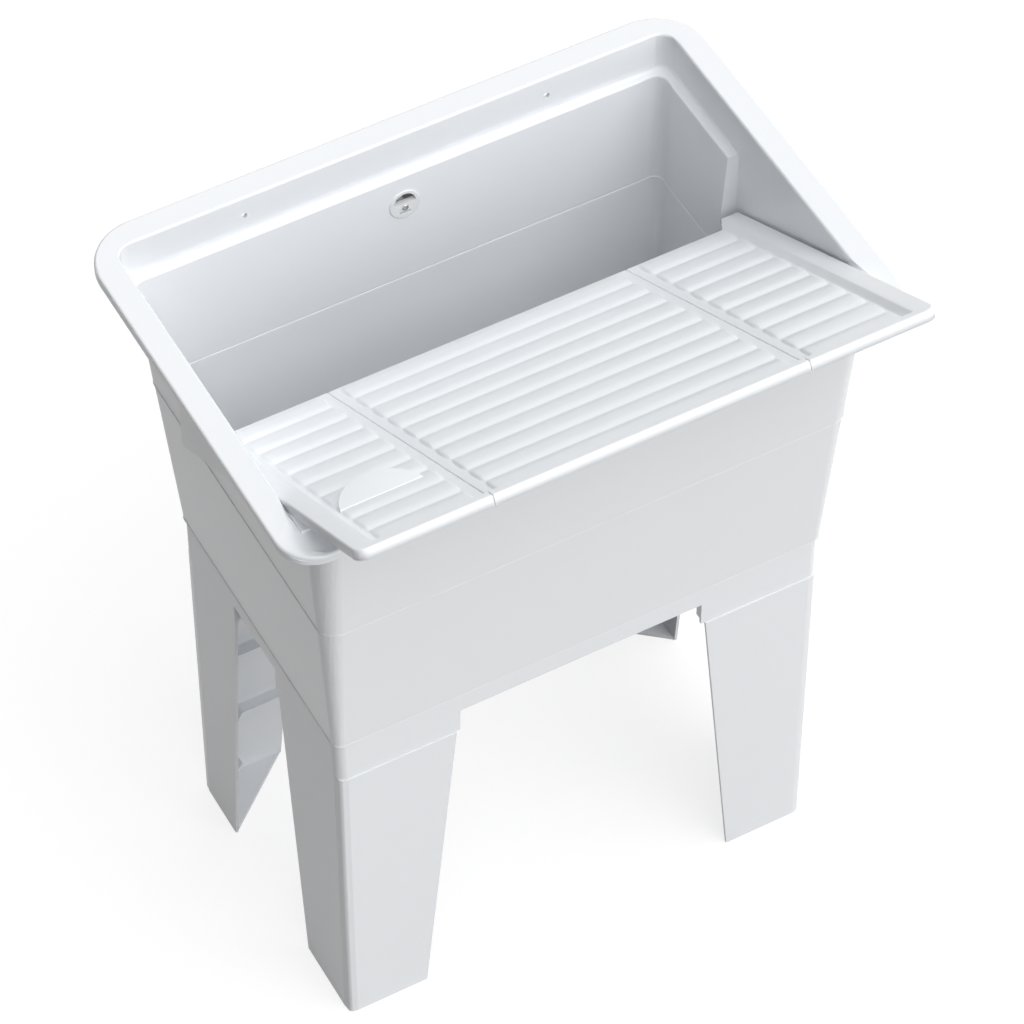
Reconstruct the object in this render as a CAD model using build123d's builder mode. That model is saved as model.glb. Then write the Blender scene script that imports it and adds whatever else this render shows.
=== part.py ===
"""Free-standing utility laundry sink with a lift-off inclined washboard.

Millimetres, +Z up, +X to the right, -Y towards the person washing.
Z = 0 is the floor, X = 0 and Y = 0 are the middle of the whole object.
"""
import os
from math import atan2, cos, radians, sin, sqrt, tan

from build123d import *

os.makedirs("parts", exist_ok=True)

# ---------------------------------------------------------------- overall sizes
rim_height = 875.0
rim_half_width = 350.0
rim_back_y = 280.4
rim_front_y = -202.0
rim_corner_radius = 42.0
rim_top_radius = 3.2
rim_skin = 4.0
rim_edge_height = 10.0
wall = 4.0
running_gap = 0.05

# strip under the rim with the ledge it ends on
rim_face_side = 30.0
rim_face_back = 29.5
strip_half_width = rim_half_width - rim_face_side
strip_back_y = rim_back_y - rim_face_back
strip_lean = 2.5
strip_low_back_y = strip_back_y - strip_lean
strip_radius = 26.0
ledge_drop = 47.5
ledge_z = rim_height - ledge_drop
ledge_nose_radius = 2.0
rim_inner_radius = 3.0

# basin floor, with the wall planes' sharp corners at its foot and at the rim
basin_depth = 371.0
floor_z = rim_height - basin_depth
floor_sheet = 8.0
floor_under_z = floor_z - floor_sheet
floor_corner = 5.0
wall_foot_drop = 16.0
low_z = floor_z - wall_foot_drop
ledge_side = 6.3
ledge_back = 3.5
front_setback = 24.1
side_draft = 23.9
back_draft = 39.6
front_draft = 28.3
high_half_width = strip_half_width - ledge_side
high_back_y = strip_back_y - ledge_back
high_front_y = rim_front_y + front_setback
low_half_width = high_half_width - side_draft
low_back_y = high_back_y - back_draft
low_front_y = high_front_y + front_draft
low_radius = 11.0
high_radius = 28.4
mould_line_drop = 183.0
mould_line_z = rim_height - mould_line_drop
mould_step = 0.6
step_z = low_z - 2.0

# waste seat in the basin floor
drain_x = 0.0
drain_y = 29.0
dish_radius = 150.0
seat_drop = 7.0
seat_depth = 3.0
seat_z = floor_z - seat_drop
seat_top_z = seat_z + seat_depth
drain_hole_radius = 27.0
seat_width = 16.5
seat_radius = drain_hole_radius + seat_width
boss_radius = seat_radius + 10.5
boss_drop = 7.0
boss_under_z = floor_under_z - boss_drop

# skirt and leg sockets
skirt_inset_side = 2.5
skirt_inset_end = 1.9
skirt_half_width = low_half_width - skirt_inset_side
skirt_front_y = low_front_y + skirt_inset_end
skirt_back_y = low_back_y - skirt_inset_end
skirt_radius = 12.0
skirt_wall = 3.3
skirt_height = 27.0
skirt_low_z = step_z - skirt_height
tab_height = 32.0
tab_low_z = skirt_low_z - tab_height
tab_width = 143.3
tab_front_depth = 140.1
tab_back_depth = 118.0
tab_inner_x = skirt_half_width - tab_width
tab_front_end_y = skirt_front_y + tab_front_depth
tab_back_start_y = skirt_back_y - tab_back_depth
socket_rib = 3.0
socket_chamfer = 5.0
socket_rib_lift = 6.0

# legs
leg_sheet = 3.5
leg_corner_radius = 9.0
leg_face_play = 5.0
leg_side_play = 2.5
leg_foot_width = 93.45
leg_front_foot_depth = 94.25
leg_back_foot_depth = 74.65
leg_rib_heights = (121.0, 225.0)
leg_rib_depth = 9.0
leg_rib_sheet = 3.0
leg_rib_inset = 1.5
foot_plate = 4.0

# washboard, measured in its own plane: along the slope from the rear edge
board_tilt = 30.28
board_length = 409.0
board_play = 2.0
board_half_width = strip_half_width - board_play
board_rear_drop = 123.2
board_rear_z = rim_height - board_rear_drop
board_overhang = 78.4
board_sheet = 3.0
board_skirt = 6.0
board_lip = 5.6
board_lip_edge = 2.4
board_tail = 16.0
side_lip_width = 21.0
front_lip_width = 18.0
side_lip_run = 9.0
front_lip_run = 8.0
lip_top_x = board_half_width - side_lip_width
lip_foot_x = lip_top_x - side_lip_run
front_lip_top = board_length - front_lip_width
front_lip_foot = front_lip_top - front_lip_run
well_corner_radius = 10.0
front_corner_radius = 14.0
seam_x = 173.3
seam_gap = 1.2
lip_hollow = 11.0
seam_web = 3.0
seam_hook = 6.0
seam_hook_sheet = 2.4
rib_pitch = 39.6
rib_first = 3.9
rib_count = int((front_lip_foot - rib_first) / rib_pitch)
rib_height = 5.2
rib_land = 2.4
rib_seam_margin = 14.2
rib_centre_margin = 12.3
rib_lip_margin = 1.5
rib_side_inner_x = seam_x + rib_seam_margin
rib_side_outer_x = lip_foot_x - rib_lip_margin
rib_centre_end = seam_x - rib_centre_margin
rib_end_run = 7.0
notch_width = 5.0
notch_depth = 4.0
pad_half_width = 42.0
pad_x = -(rib_side_inner_x + rib_side_outer_x) / 2 - 8.0
pad_front = 296.5
pad_depth = 52.5
pad_arc_apex = pad_front - pad_depth
pad_front_height = 6.0
pad_apex_height = 13.0

# side recess that carries the washboard, and the shelf behind the thin front lip
recess_rear_play = 11.25
recess_front_inset = 15.8
recess_front_y = high_front_y + recess_front_inset
recess_pad_drop = 3.5
recess_pad_z = rim_height - recess_pad_drop
strip_cut_lap = 60.9
shelf_drop = 7.0
shelf_z = rim_height - shelf_drop
shelf_lip = 4.2
shelf_depth = 97.8
shelf_front_y = rim_front_y + shelf_lip
shelf_rear_y = shelf_front_y + shelf_depth
roll_width = 15.0

# fixing holes for the wall behind the sink
wall_hole_x = 175.4
wall_hole_drop = 25.0
wall_hole_z = rim_height - wall_hole_drop
wall_hole_radius = 3.7

# overflow
overflow_drop = 84.0
overflow_z = rim_height - overflow_drop
overflow_hole_radius = 14.0
rosette_radius = 17.8
rosette_sheet = 1.6
rosette_edge = 1.2
overflow_gasket_sheet = 2.0
overflow_flange_radius = 21.0
overflow_flange = 3.0
overflow_chamber_radius = 15.0
overflow_chamber_depth = 24.0
elbow_wall = 2.5
overflow_pipe_radius = 10.5
overflow_pipe_wall = 2.0
overflow_pipe_bore = overflow_pipe_radius - overflow_pipe_wall
overflow_pipe_setback = 13.2
overflow_pipe_drop = 53.0
overflow_pipe_low_z = boss_under_z - overflow_pipe_drop
overflow_bend = 40.0
overflow_screw_radius = 2.0
overflow_screw_head = 3.6
overflow_screw_reach = 14.0
elbow_socket_drop = 34.0
pipe_seat_drop = 19.0
rosette_moon_radius = 12.6
rosette_moon_base = 1.6
rosette_screw_drop = -3.4
rosette_slit_drop = 9.6
rosette_slit_width = 13.0
rosette_slit_height = 1.8
pipe_nut_radius = 17.5
pipe_nut_lip = 3.0
pipe_nut_length = 14.0

# waste, plug and trap, all on the vertical line through the drain hole
waste_gasket_sheet = 1.5
strainer_sheet = 1.5
strainer_play = 2.0
strainer_radius = seat_radius - strainer_play
strainer_cup_play = 3.0
strainer_cup_radius = drain_hole_radius - strainer_cup_play
strainer_cup_drop = 11.0
strainer_floor_z = seat_z - strainer_cup_drop
strainer_hole_radius = 4.0
plug_play = 0.5
plug_taper = 1.4
plug_top_radius = strainer_cup_radius - strainer_sheet - plug_play
plug_low_radius = plug_top_radius - plug_taper
plug_depth = 9.0
plug_flange_width = 5.0
plug_flange_radius = plug_top_radius + plug_flange_width
waste_wall = 3.0
waste_cup_radius = drain_hole_radius + waste_wall
waste_flange_width = 16.0
waste_flange_radius = waste_cup_radius + waste_flange_width
waste_cup_depth = 77.0
waste_cone_z = boss_under_z - waste_cup_depth
waste_outlet_radius = 20.0
waste_outlet_bore = waste_outlet_radius - waste_wall
waste_outlet_length = 14.0
waste_outlet_z = waste_cone_z - waste_outlet_length
waste_bridge_drop = 37.0
waste_bridge_z = boss_under_z - waste_bridge_drop
waste_bridge_height = 14.0
waste_screw_radius = 3.0
waste_screw_head = 5.5
inlet_reach = 22.0
inlet_seat_y = drain_y + waste_cup_radius + 5.0
trap_nut_radius = 27.0
trap_nut_height = 20.0
trap_washer_sheet = 2.0
trap_body_radius = 31.0
trap_body_gap = 12.0
trap_body_height = 64.0
trap_body_top_z = waste_outlet_z - trap_body_gap
trap_body_low_z = trap_body_top_z - trap_body_height
trap_wall = 3.0
trap_neck_radius = 17.0
trap_neck_bore = 14.5
trap_tube_reach = 16.0
trap_tube_low_z = trap_body_low_z - trap_tube_reach
trap_cup_lap = 18.0
trap_cup_depth = 40.0
trap_cup_radius = trap_body_radius + 4.0
trap_cup_top_z = trap_body_low_z + trap_cup_lap
trap_cup_low_z = trap_body_low_z - trap_cup_depth
trap_seal_sheet = 2.5
trap_outlet_drop = 24.0
trap_outlet_z = trap_body_top_z - trap_outlet_drop
outlet_pipe_radius = 16.0
outlet_pipe_wall = 1.8
outlet_pipe_bore = outlet_pipe_radius - outlet_pipe_wall
outlet_free_length = 40.0
outlet_bead_width = 2.5
outlet_bead_height = 1.6
trap_spigot_radius = outlet_pipe_radius + 3.0
trap_spigot_reach = 24.0
outlet_pipe_back = 4.4
trap_outlet_end_y = rim_back_y - outlet_pipe_back
outlet_nut_radius = trap_spigot_radius + 4.5
outlet_nut_length = 20.0


def save(builder, name):
    """Label a finished piece and write its STEP file."""
    builder.part.label = name
    export_step(builder.part, f"parts/{name}.step")


def wall_plan(z, inset):
    """Plan outline of the basin wall at height z, moved inwards by inset."""
    t = (z - low_z) / (rim_height - low_z)
    half = low_half_width + t * (high_half_width - low_half_width) - inset
    front = low_front_y + t * (high_front_y - low_front_y) + inset
    back = low_back_y + t * (high_back_y - low_back_y) - inset
    radius = max(low_radius + t * (high_radius - low_radius) - inset, 6.0)
    with BuildSketch(Plane.XY.offset(z), mode=Mode.PRIVATE) as plan:
        with Locations((0, (front + back) / 2)):
            RectangleRounded(2 * half, back - front, radius)
    return plan.sketch


def strip_plan(z, outset, front):
    """Plan outline of the strip between rim and ledge at height z, reaching forwards to front."""
    t = (z - ledge_z) / (rim_height - ledge_z)
    half = strip_half_width + outset
    back = strip_low_back_y + t * (strip_back_y - strip_low_back_y) + outset
    with BuildSketch(Plane.XY.offset(z), mode=Mode.PRIVATE) as plan:
        with Locations((0, (front + back) / 2)):
            RectangleRounded(2 * half, back - front, strip_radius + outset)
    return plan.sketch


def front_opening(z, roll):
    """Plan of the opening over the front shelf at height z; roll widens it at its front corners."""
    half = strip_half_width
    side_points = (
        (half, shelf_rear_y),
        (half + 0.23 * roll, shelf_rear_y - 25),
        (half + 0.64 * roll, shelf_rear_y - 50),
        (half - 0.5 + roll, shelf_rear_y - 70),
        (half - 4 + roll, shelf_rear_y - 82),
        (half - 12 + 0.85 * roll, shelf_front_y + 5.5),
        (half - 22 + 0.55 * roll, shelf_front_y),
    )
    with BuildSketch(Plane.XY.offset(z), mode=Mode.PRIVATE) as opening:
        with BuildLine():
            Line((-half, shelf_rear_y), (half, shelf_rear_y))
            Spline(*side_points, tangents=[(0, -1), (-1, 0)])
            Line(side_points[-1], (-side_points[-1][0], shelf_front_y))
            Spline(*[(-x, y) for x, y in side_points], tangents=[(0, -1), (1, 0)])
        make_face()
    return opening.sketch


drain_centre = (drain_x, drain_y)
drain_axis = Axis((drain_x, drain_y, 0), (0, 0, 1))

# ---------------------------------------------------------------- board frame
board_cos = cos(radians(board_tilt))
board_sin = sin(radians(board_tilt))
board_front_y = rim_front_y - board_overhang
board_rear_y = board_front_y + board_length * board_cos + board_skirt * board_sin
board_top = Plane(
    origin=(0, board_rear_y, board_rear_z),
    x_dir=(1, 0, 0),
    z_dir=(0, board_sin, board_cos),
)
board_rear_point = (0, board_rear_y, board_rear_z)
board_side = Plane(
    origin=(0, board_rear_y, board_rear_z),
    x_dir=(0, -board_cos, board_sin),
    z_dir=(-1, 0, 0),
)


def ledge_height(y):
    """Height of the inclined ledge that the washboard's skirt stands on."""
    slope = tan(radians(board_tilt))
    return board_rear_z - (board_skirt + running_gap) / board_cos - slope * (y - board_rear_y)


recess_rear_y = board_rear_y + board_tail * board_cos + recess_rear_play
strip_cut_front_y = recess_rear_y - strip_cut_lap
recess_bend_y = board_rear_y - (recess_pad_z - ledge_height(board_rear_y)) / tan(radians(board_tilt))

# ---------------------------------------------------------------- overflow frame
back_lean = (high_back_y - low_back_y) / (rim_height - low_z)
back_angle = atan2(high_back_y - low_back_y, rim_height - low_z)
overflow_inner_y = low_back_y + back_lean * (overflow_z - low_z) - wall
overflow_pipe_y = overflow_inner_y + wall + overflow_gasket_sheet + overflow_pipe_setback
overflow_face = Plane(
    origin=(0, overflow_inner_y, overflow_z),
    x_dir=(1, 0, 0),
    z_dir=(0, -cos(back_angle), sin(back_angle)),
)

def soft_rim_edge(box):
    """True for the edges of the basin opening beside and behind the washboard."""
    inside = max(-box.min.X, box.max.X) < strip_half_width + 1 and box.max.Y < strip_back_y + 1
    return box.min.Z > rim_height - 0.1 and inside and box.min.Y > shelf_rear_y - 1


def ledge_nose_edge(box):
    """True for the front edges of the ledge under the strip."""
    level = abs(box.min.Z - ledge_z) < 0.1 and abs(box.max.Z - ledge_z) < 0.1
    inside = max(-box.min.X, box.max.X) < strip_half_width - 5
    return level and inside and box.max.Y < strip_low_back_y - 5 and box.max.Y > recess_rear_y + 1


def ledge_root_edge(box):
    """True for the edges where the strip meets the ledge."""
    level = abs(box.min.Z - ledge_z) < 0.1 and abs(box.max.Z - ledge_z) < 0.1
    at_side = max(-box.min.X, box.max.X) > strip_half_width - 5
    return level and (at_side or box.min.Y > strip_low_back_y - 5) and box.max.Y > recess_rear_y + 1


def floor_corner_edge(box):
    """True for the edges where the basin floor meets its walls."""
    level = abs(box.min.Z - floor_z) < 0.1 and abs(box.max.Z - floor_z) < 0.1
    return level and max(-box.min.X, box.max.X) > low_half_width - 2 * wall - 4


# ---------------------------------------------------------------- tub
with BuildPart() as tub:
    with BuildSketch(Plane.XY.offset(rim_height - rim_edge_height)):
        with Locations((0, (rim_front_y + rim_back_y) / 2)):
            RectangleRounded(2 * rim_half_width, rim_back_y - rim_front_y, rim_corner_radius)
    extrude(amount=rim_edge_height)
    rim_top_edges = tub.edges().group_by(Axis.Z)[-1]
    fillet(rim_top_edges, radius=rim_top_radius)
    with BuildSketch(Plane.XY.offset(rim_height - rim_edge_height)):
        with Locations((0, (rim_front_y + rim_back_y) / 2)):
            RectangleRounded(
                2 * (rim_half_width - rim_skin),
                rim_back_y - rim_front_y - 2 * rim_skin,
                rim_corner_radius - rim_skin,
            )
    extrude(amount=rim_edge_height - rim_skin, mode=Mode.SUBTRACT)
    # shelf plate between the front lip and the front wall
    with BuildSketch(Plane.XY.offset(rim_height - rim_edge_height)):
        with Locations((0, (rim_front_y + shelf_rear_y) / 2 + 1.5)):
            RectangleRounded(2 * rim_half_width - 6, shelf_rear_y - rim_front_y - 3, 30)
    extrude(amount=rim_edge_height - rim_skin)
    # walls, strip and skirt as solid masses
    loft([wall_plan(step_z, mould_step), wall_plan(mould_line_z, mould_step)], ruled=True)
    loft([wall_plan(mould_line_z, 0), wall_plan(rim_height - 1, 0)], ruled=True)
    strip_mass_low = strip_plan(ledge_z - wall, wall, recess_front_y - wall)
    strip_mass_top = strip_plan(rim_height - 1, wall, recess_front_y - wall)
    loft([strip_mass_low, strip_mass_top], ruled=True)
    with BuildSketch(Plane.YZ.offset(-strip_half_width - wall)):
        with BuildLine():
            Polyline(
                (recess_rear_y + wall, ledge_height(recess_rear_y) - 1.3 * wall),
                (recess_rear_y + wall, rim_height - 1),
                (recess_front_y - wall, rim_height - 1),
                (recess_front_y - wall, recess_pad_z - 1.6 * wall),
                (recess_bend_y, recess_pad_z - 1.6 * wall),
                close=True,
            )
        make_face()
    extrude(amount=2 * (strip_half_width + wall))
    with BuildSketch(Plane.XY.offset(tab_low_z)):
        with Locations((0, (skirt_front_y + skirt_back_y) / 2)):
            RectangleRounded(2 * skirt_half_width, skirt_back_y - skirt_front_y, skirt_radius)
    extrude(amount=step_z + 2 - tab_low_z)
    # cavity of the basin
    loft([wall_plan(floor_z, wall + mould_step), wall_plan(mould_line_z, wall + mould_step)],
         ruled=True, mode=Mode.SUBTRACT)
    loft([wall_plan(mould_line_z, wall), wall_plan(rim_height + 1, wall)],
         ruled=True, mode=Mode.SUBTRACT)
    strip_low = strip_plan(ledge_z, 0, strip_cut_front_y)
    strip_top = strip_plan(rim_height + 1, 0, strip_cut_front_y)
    loft([strip_low, strip_top], ruled=True, mode=Mode.SUBTRACT)
    with BuildSketch(Plane.YZ.offset(-strip_half_width)):
        with BuildLine():
            Polyline(
                (recess_rear_y, ledge_height(recess_rear_y)),
                (recess_rear_y, rim_height + 1),
                (recess_front_y, rim_height + 1),
                (recess_front_y, recess_pad_z),
                (recess_bend_y, recess_pad_z),
                close=True,
            )
        make_face()
    extrude(amount=2 * strip_half_width, mode=Mode.SUBTRACT)
    # underside of the basin, open between the leg sockets
    with BuildSketch(Plane.XY.offset(tab_low_z)):
        with Locations((0, (skirt_front_y + skirt_back_y) / 2)):
            RectangleRounded(
                2 * (skirt_half_width - skirt_wall),
                skirt_back_y - skirt_front_y - 2 * skirt_wall,
                skirt_radius - skirt_wall,
            )
    extrude(amount=floor_under_z - tab_low_z, mode=Mode.SUBTRACT)
    with BuildSketch(Plane.XY.offset(tab_low_z)):
        with Locations((0, (skirt_front_y + skirt_back_y) / 2)):
            Rectangle(2 * tab_inner_x, skirt_back_y - skirt_front_y + 20)
        with Locations((0, (tab_front_end_y + tab_back_start_y) / 2)):
            Rectangle(2 * skirt_half_width + 20, tab_back_start_y - tab_front_end_y)
    extrude(amount=skirt_low_z - tab_low_z, mode=Mode.SUBTRACT)
    # soft edges of the opening, the ledge and the basin floor
    inner_edges = tub.edges().filter_by(lambda edge: soft_rim_edge(edge.bounding_box()))
    fillet(inner_edges, radius=rim_inner_radius)
    ledge_edges = tub.edges().filter_by(lambda edge: ledge_nose_edge(edge.bounding_box()))
    fillet(ledge_edges, radius=ledge_nose_radius)
    root_edges = tub.edges().filter_by(lambda edge: ledge_root_edge(edge.bounding_box()))
    fillet(root_edges, radius=rim_inner_radius)
    floor_edges = tub.edges().filter_by(lambda edge: floor_corner_edge(edge.bounding_box()))
    fillet(floor_edges, radius=floor_corner)
    # ribs that close the inner side of each leg socket
    socket_x = skirt_half_width - skirt_wall - leg_sheet - 2 * running_gap
    socket_front_y = skirt_front_y + skirt_wall + leg_sheet + 2 * running_gap
    socket_back_y = skirt_back_y - skirt_wall - leg_sheet - 2 * running_gap
    with BuildSketch(Plane.XY.offset(tab_low_z + socket_rib_lift)):
        for side in (-1, 1):
            with BuildLine():
                Polyline(
                    (side * tab_inner_x, socket_front_y - leg_sheet),
                    (side * (tab_inner_x + socket_rib), socket_front_y - leg_sheet),
                    (side * (tab_inner_x + socket_rib), socket_front_y),
                    (side * (socket_x - socket_chamfer), socket_front_y),
                    (side * socket_x, socket_front_y + socket_chamfer),
                    (side * socket_x, tab_front_end_y),
                    (side * (socket_x - socket_rib), tab_front_end_y),
                    (side * (socket_x - socket_rib), socket_front_y + socket_rib),
                    (side * tab_inner_x, socket_front_y + socket_rib),
                    close=True,
                )
            make_face()
            with BuildLine():
                Polyline(
                    (side * tab_inner_x, socket_back_y + leg_sheet),
                    (side * (tab_inner_x + socket_rib), socket_back_y + leg_sheet),
                    (side * (tab_inner_x + socket_rib), socket_back_y),
                    (side * (socket_x - socket_chamfer), socket_back_y),
                    (side * socket_x, socket_back_y - socket_chamfer),
                    (side * socket_x, tab_back_start_y),
                    (side * (socket_x - socket_rib), tab_back_start_y),
                    (side * (socket_x - socket_rib), socket_back_y - socket_rib),
                    (side * tab_inner_x, socket_back_y - socket_rib),
                    close=True,
                )
            make_face()
    extrude(until=Until.NEXT)
    # shelf and rolled corners at the front of the opening
    front_low = front_opening(shelf_z, 0.0)
    front_top = front_opening(rim_height + 1, roll_width)
    loft([front_low, front_top], ruled=True, mode=Mode.SUBTRACT)
    # level rests at the front end of the inclined ledges
    shelf_meets_y = board_rear_y - (shelf_z - ledge_height(board_rear_y)) / tan(radians(board_tilt))
    for side in (-1, 1):
        with BuildSketch(Plane.YZ.offset(side * (strip_half_width - 5.5))):
            with BuildLine():
                Polyline(
                    (recess_front_y + 2, shelf_z - 2),
                    (recess_front_y + 2, recess_pad_z),
                    (recess_bend_y, recess_pad_z),
                    (shelf_meets_y, shelf_z),
                    (shelf_meets_y, shelf_z - 2),
                    close=True,
                )
            make_face()
        extrude(amount=5.5, both=True)
    # waste seat, drain hole, overflow hole and fixing holes
    with BuildSketch(Plane.XY.offset(boss_under_z)):
        with Locations(drain_centre):
            Circle(boss_radius)
    extrude(amount=floor_under_z - boss_under_z)
    with BuildSketch(Plane.XZ.offset(-drain_y)):
        with BuildLine():
            Polyline(
                (0, boss_under_z - 1),
                (drain_hole_radius, boss_under_z - 1),
                (drain_hole_radius, seat_z),
                (seat_radius, seat_z),
                (seat_radius, seat_top_z),
                (dish_radius, floor_z),
                (dish_radius, floor_z + 1),
                (0, floor_z + 1),
                close=True,
            )
        make_face()
    revolve(axis=drain_axis, mode=Mode.SUBTRACT)
    with BuildSketch(overflow_face.offset(-wall - 2)):
        Circle(overflow_hole_radius)
    extrude(amount=wall + 8, mode=Mode.SUBTRACT)
    with BuildSketch(Plane.XZ.offset(-strip_back_y - wall - 3)):
        with Locations((-wall_hole_x, wall_hole_z), (wall_hole_x, wall_hole_z)):
            Circle(wall_hole_radius)
    extrude(amount=wall + 8, mode=Mode.SUBTRACT)
    save(tub, "tub")

# ---------------------------------------------------------------- legs
leg_outer_x = skirt_half_width - skirt_wall - running_gap
leg_front_y = skirt_front_y + skirt_wall + running_gap
leg_back_y = skirt_back_y - skirt_wall - running_gap
leg_top_z = floor_under_z - running_gap
leg_top_inner_x = tab_inner_x + leg_face_play
leg_foot_inner_x = leg_outer_x - leg_foot_width
leg_front_side_top_y = tab_front_end_y - leg_side_play
leg_front_side_foot_y = leg_front_y + leg_front_foot_depth
leg_back_side_top_y = tab_back_start_y + leg_side_play
leg_back_side_foot_y = leg_back_y - leg_back_foot_depth


def leg_solid(face_y, inward, side_top_y, side_foot_y):
    """Right-hand leg: face_y is its wide face, inward is +1 for front and -1 for back legs."""
    with BuildPart() as leg:
        with BuildSketch(Plane.XZ.offset(-face_y)):
            with BuildLine():
                Polyline(
                    (leg_outer_x, 0),
                    (leg_foot_inner_x, 0),
                    (leg_top_inner_x, tab_low_z),
                    (leg_top_inner_x, leg_top_z),
                    (leg_outer_x, leg_top_z),
                    close=True,
                )
            make_face()
        extrude(amount=-inward * leg_sheet)
        with BuildSketch(Plane.YZ.offset(leg_outer_x)):
            with BuildLine():
                Polyline(
                    (face_y, 0),
                    (side_foot_y, 0),
                    (side_top_y, tab_low_z),
                    (side_top_y, leg_top_z),
                    (face_y, leg_top_z),
                    close=True,
                )
            make_face()
        extrude(amount=-leg_sheet)
        upright = leg.edges().filter_by(Axis.Z)
        outer_edge = upright.sort_by_distance((leg_outer_x, face_y, 200))[0]
        fillet(outer_edge, radius=leg_corner_radius)
        upright = leg.edges().filter_by(Axis.Z)
        inner_corner = (leg_outer_x - leg_sheet, face_y + inward * leg_sheet, 200)
        inner_edge = upright.sort_by_distance(inner_corner)[0]
        fillet(inner_edge, radius=leg_corner_radius - leg_sheet)
        # plate across the foot and two narrow stiffening ribs above it
        with BuildSketch(Plane.XY):
            with BuildLine():
                Polyline(
                    (leg_outer_x - leg_sheet + 1, face_y + inward * (leg_sheet - 1)),
                    (leg_foot_inner_x + 1, face_y + inward * (leg_sheet - 1)),
                    (leg_foot_inner_x + 1, face_y + inward * leg_sheet),
                    (leg_outer_x - leg_sheet, side_foot_y - inward),
                    (leg_outer_x - leg_sheet + 1, side_foot_y - inward),
                    close=True,
                )
            make_face()
        extrude(amount=foot_plate)
        for height in leg_rib_heights:
            t = height / tab_low_z
            face_end = leg_foot_inner_x + t * (leg_top_inner_x - leg_foot_inner_x) + leg_rib_inset
            side_end = side_foot_y + t * (side_top_y - side_foot_y) - leg_rib_inset * inward
            corner_x = leg_outer_x - leg_sheet + 0.5
            corner_y = face_y + inward * (leg_sheet - 0.5)
            with BuildSketch(Plane.XY.offset(height - leg_rib_sheet / 2)):
                with BuildLine():
                    Polyline(
                        (corner_x, corner_y),
                        (face_end, corner_y),
                        (face_end + leg_rib_depth, corner_y + inward * leg_rib_depth),
                        (corner_x - 1.6 * leg_rib_depth, corner_y + inward * leg_rib_depth),
                        (corner_x - leg_rib_depth, corner_y + inward * 1.6 * leg_rib_depth),
                        (corner_x - leg_rib_depth, side_end - inward * leg_rib_depth),
                        (corner_x, side_end),
                        close=True,
                    )
                make_face()
            extrude(amount=leg_rib_sheet)
    return leg.part


front_leg = leg_solid(leg_front_y, 1, leg_front_side_top_y, leg_front_side_foot_y)
back_leg = leg_solid(leg_back_y, -1, leg_back_side_top_y, leg_back_side_foot_y)

with BuildPart() as leg_front_right:
    add(front_leg)
    save(leg_front_right, "leg_front_right")

with BuildPart() as leg_front_left:
    add(mirror(front_leg, about=Plane.YZ))
    save(leg_front_left, "leg_front_left")

with BuildPart() as leg_back_right:
    add(back_leg)
    save(leg_back_right, "leg_back_right")

with BuildPart() as leg_back_left:
    add(mirror(back_leg, about=Plane.YZ))
    save(leg_back_left, "leg_back_left")

# ---------------------------------------------------------------- washboard
board_section = Plane(
    origin=board_rear_point,
    x_dir=(1, 0, 0),
    z_dir=(0, -board_cos, board_sin),
)
rib_chord = rib_pitch - rib_land
rib_arc_radius = (rib_chord ** 2 / 4 + rib_height ** 2) / (2 * rib_height)


def rib_row(x_from, x_to, shrink):
    """Row of rounded washing ribs; shrink gives the hollow that lies under their sheet."""
    radius = rib_arc_radius - shrink
    low = -1.0 if shrink == 0 else -board_sheet - 0.5
    half = sqrt(radius ** 2 - (rib_arc_radius - rib_height - shrink) ** 2)
    with BuildPart() as row:
        with BuildSketch(board_side.offset(-x_to + shrink)):
            for index in range(rib_count):
                middle = rib_first + (index + 0.5) * rib_pitch
                with BuildLine():
                    Polyline(
                        (middle - half, -shrink),
                        (middle - half, low),
                        (middle + half, low),
                        (middle + half, -shrink),
                    )
                    ThreePointArc(
                        (middle + half, -shrink),
                        (middle, rib_height - shrink),
                        (middle - half, -shrink),
                    )
                make_face()
        extrude(amount=x_to - x_from - 2 * shrink)
        # both ends of the row slope down to the sheet
        for end_x, outward in ((x_from, -1), (x_to, 1)):
            foot_x = end_x - outward * shrink
            with BuildSketch(board_section):
                with BuildLine():
                    Polyline(
                        (foot_x + outward, -shrink),
                        (foot_x, -shrink),
                        (foot_x - outward * rib_end_run, rib_height + 1.0 - shrink),
                        (foot_x + outward, rib_height + 1.0 - shrink),
                        close=True,
                    )
                make_face()
            extrude(amount=board_length, mode=Mode.SUBTRACT)
    return row.part


def soap_pad(shrink):
    """Raised D-shaped pad on the left panel; shrink gives the hollow under it."""
    with BuildPart() as pad:
        with BuildSketch(board_top.offset(-1.0 if shrink == 0 else -board_sheet - 0.5)):
            with BuildLine():
                half = pad_half_width - shrink
                front = -(pad_front - shrink)
                apex = -(pad_arc_apex + shrink)
                Line((pad_x - half, front), (pad_x + half, front))
                ThreePointArc((pad_x + half, front), (pad_x, apex), (pad_x - half, front))
            make_face()
        extrude(amount=pad_apex_height + 6)
        with BuildSketch(board_side.offset(-pad_x - pad_half_width)):
            with BuildLine():
                Polyline(
                    (pad_arc_apex - 6, pad_apex_height - shrink + 0.8),
                    (pad_front + 6, pad_front_height - shrink - 0.8),
                    (pad_front + 6, pad_apex_height + 8),
                    (pad_arc_apex - 6, pad_apex_height + 8),
                    close=True,
                )
            make_face()
        extrude(amount=2 * pad_half_width, both=True, mode=Mode.SUBTRACT)
    return pad.part


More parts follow.
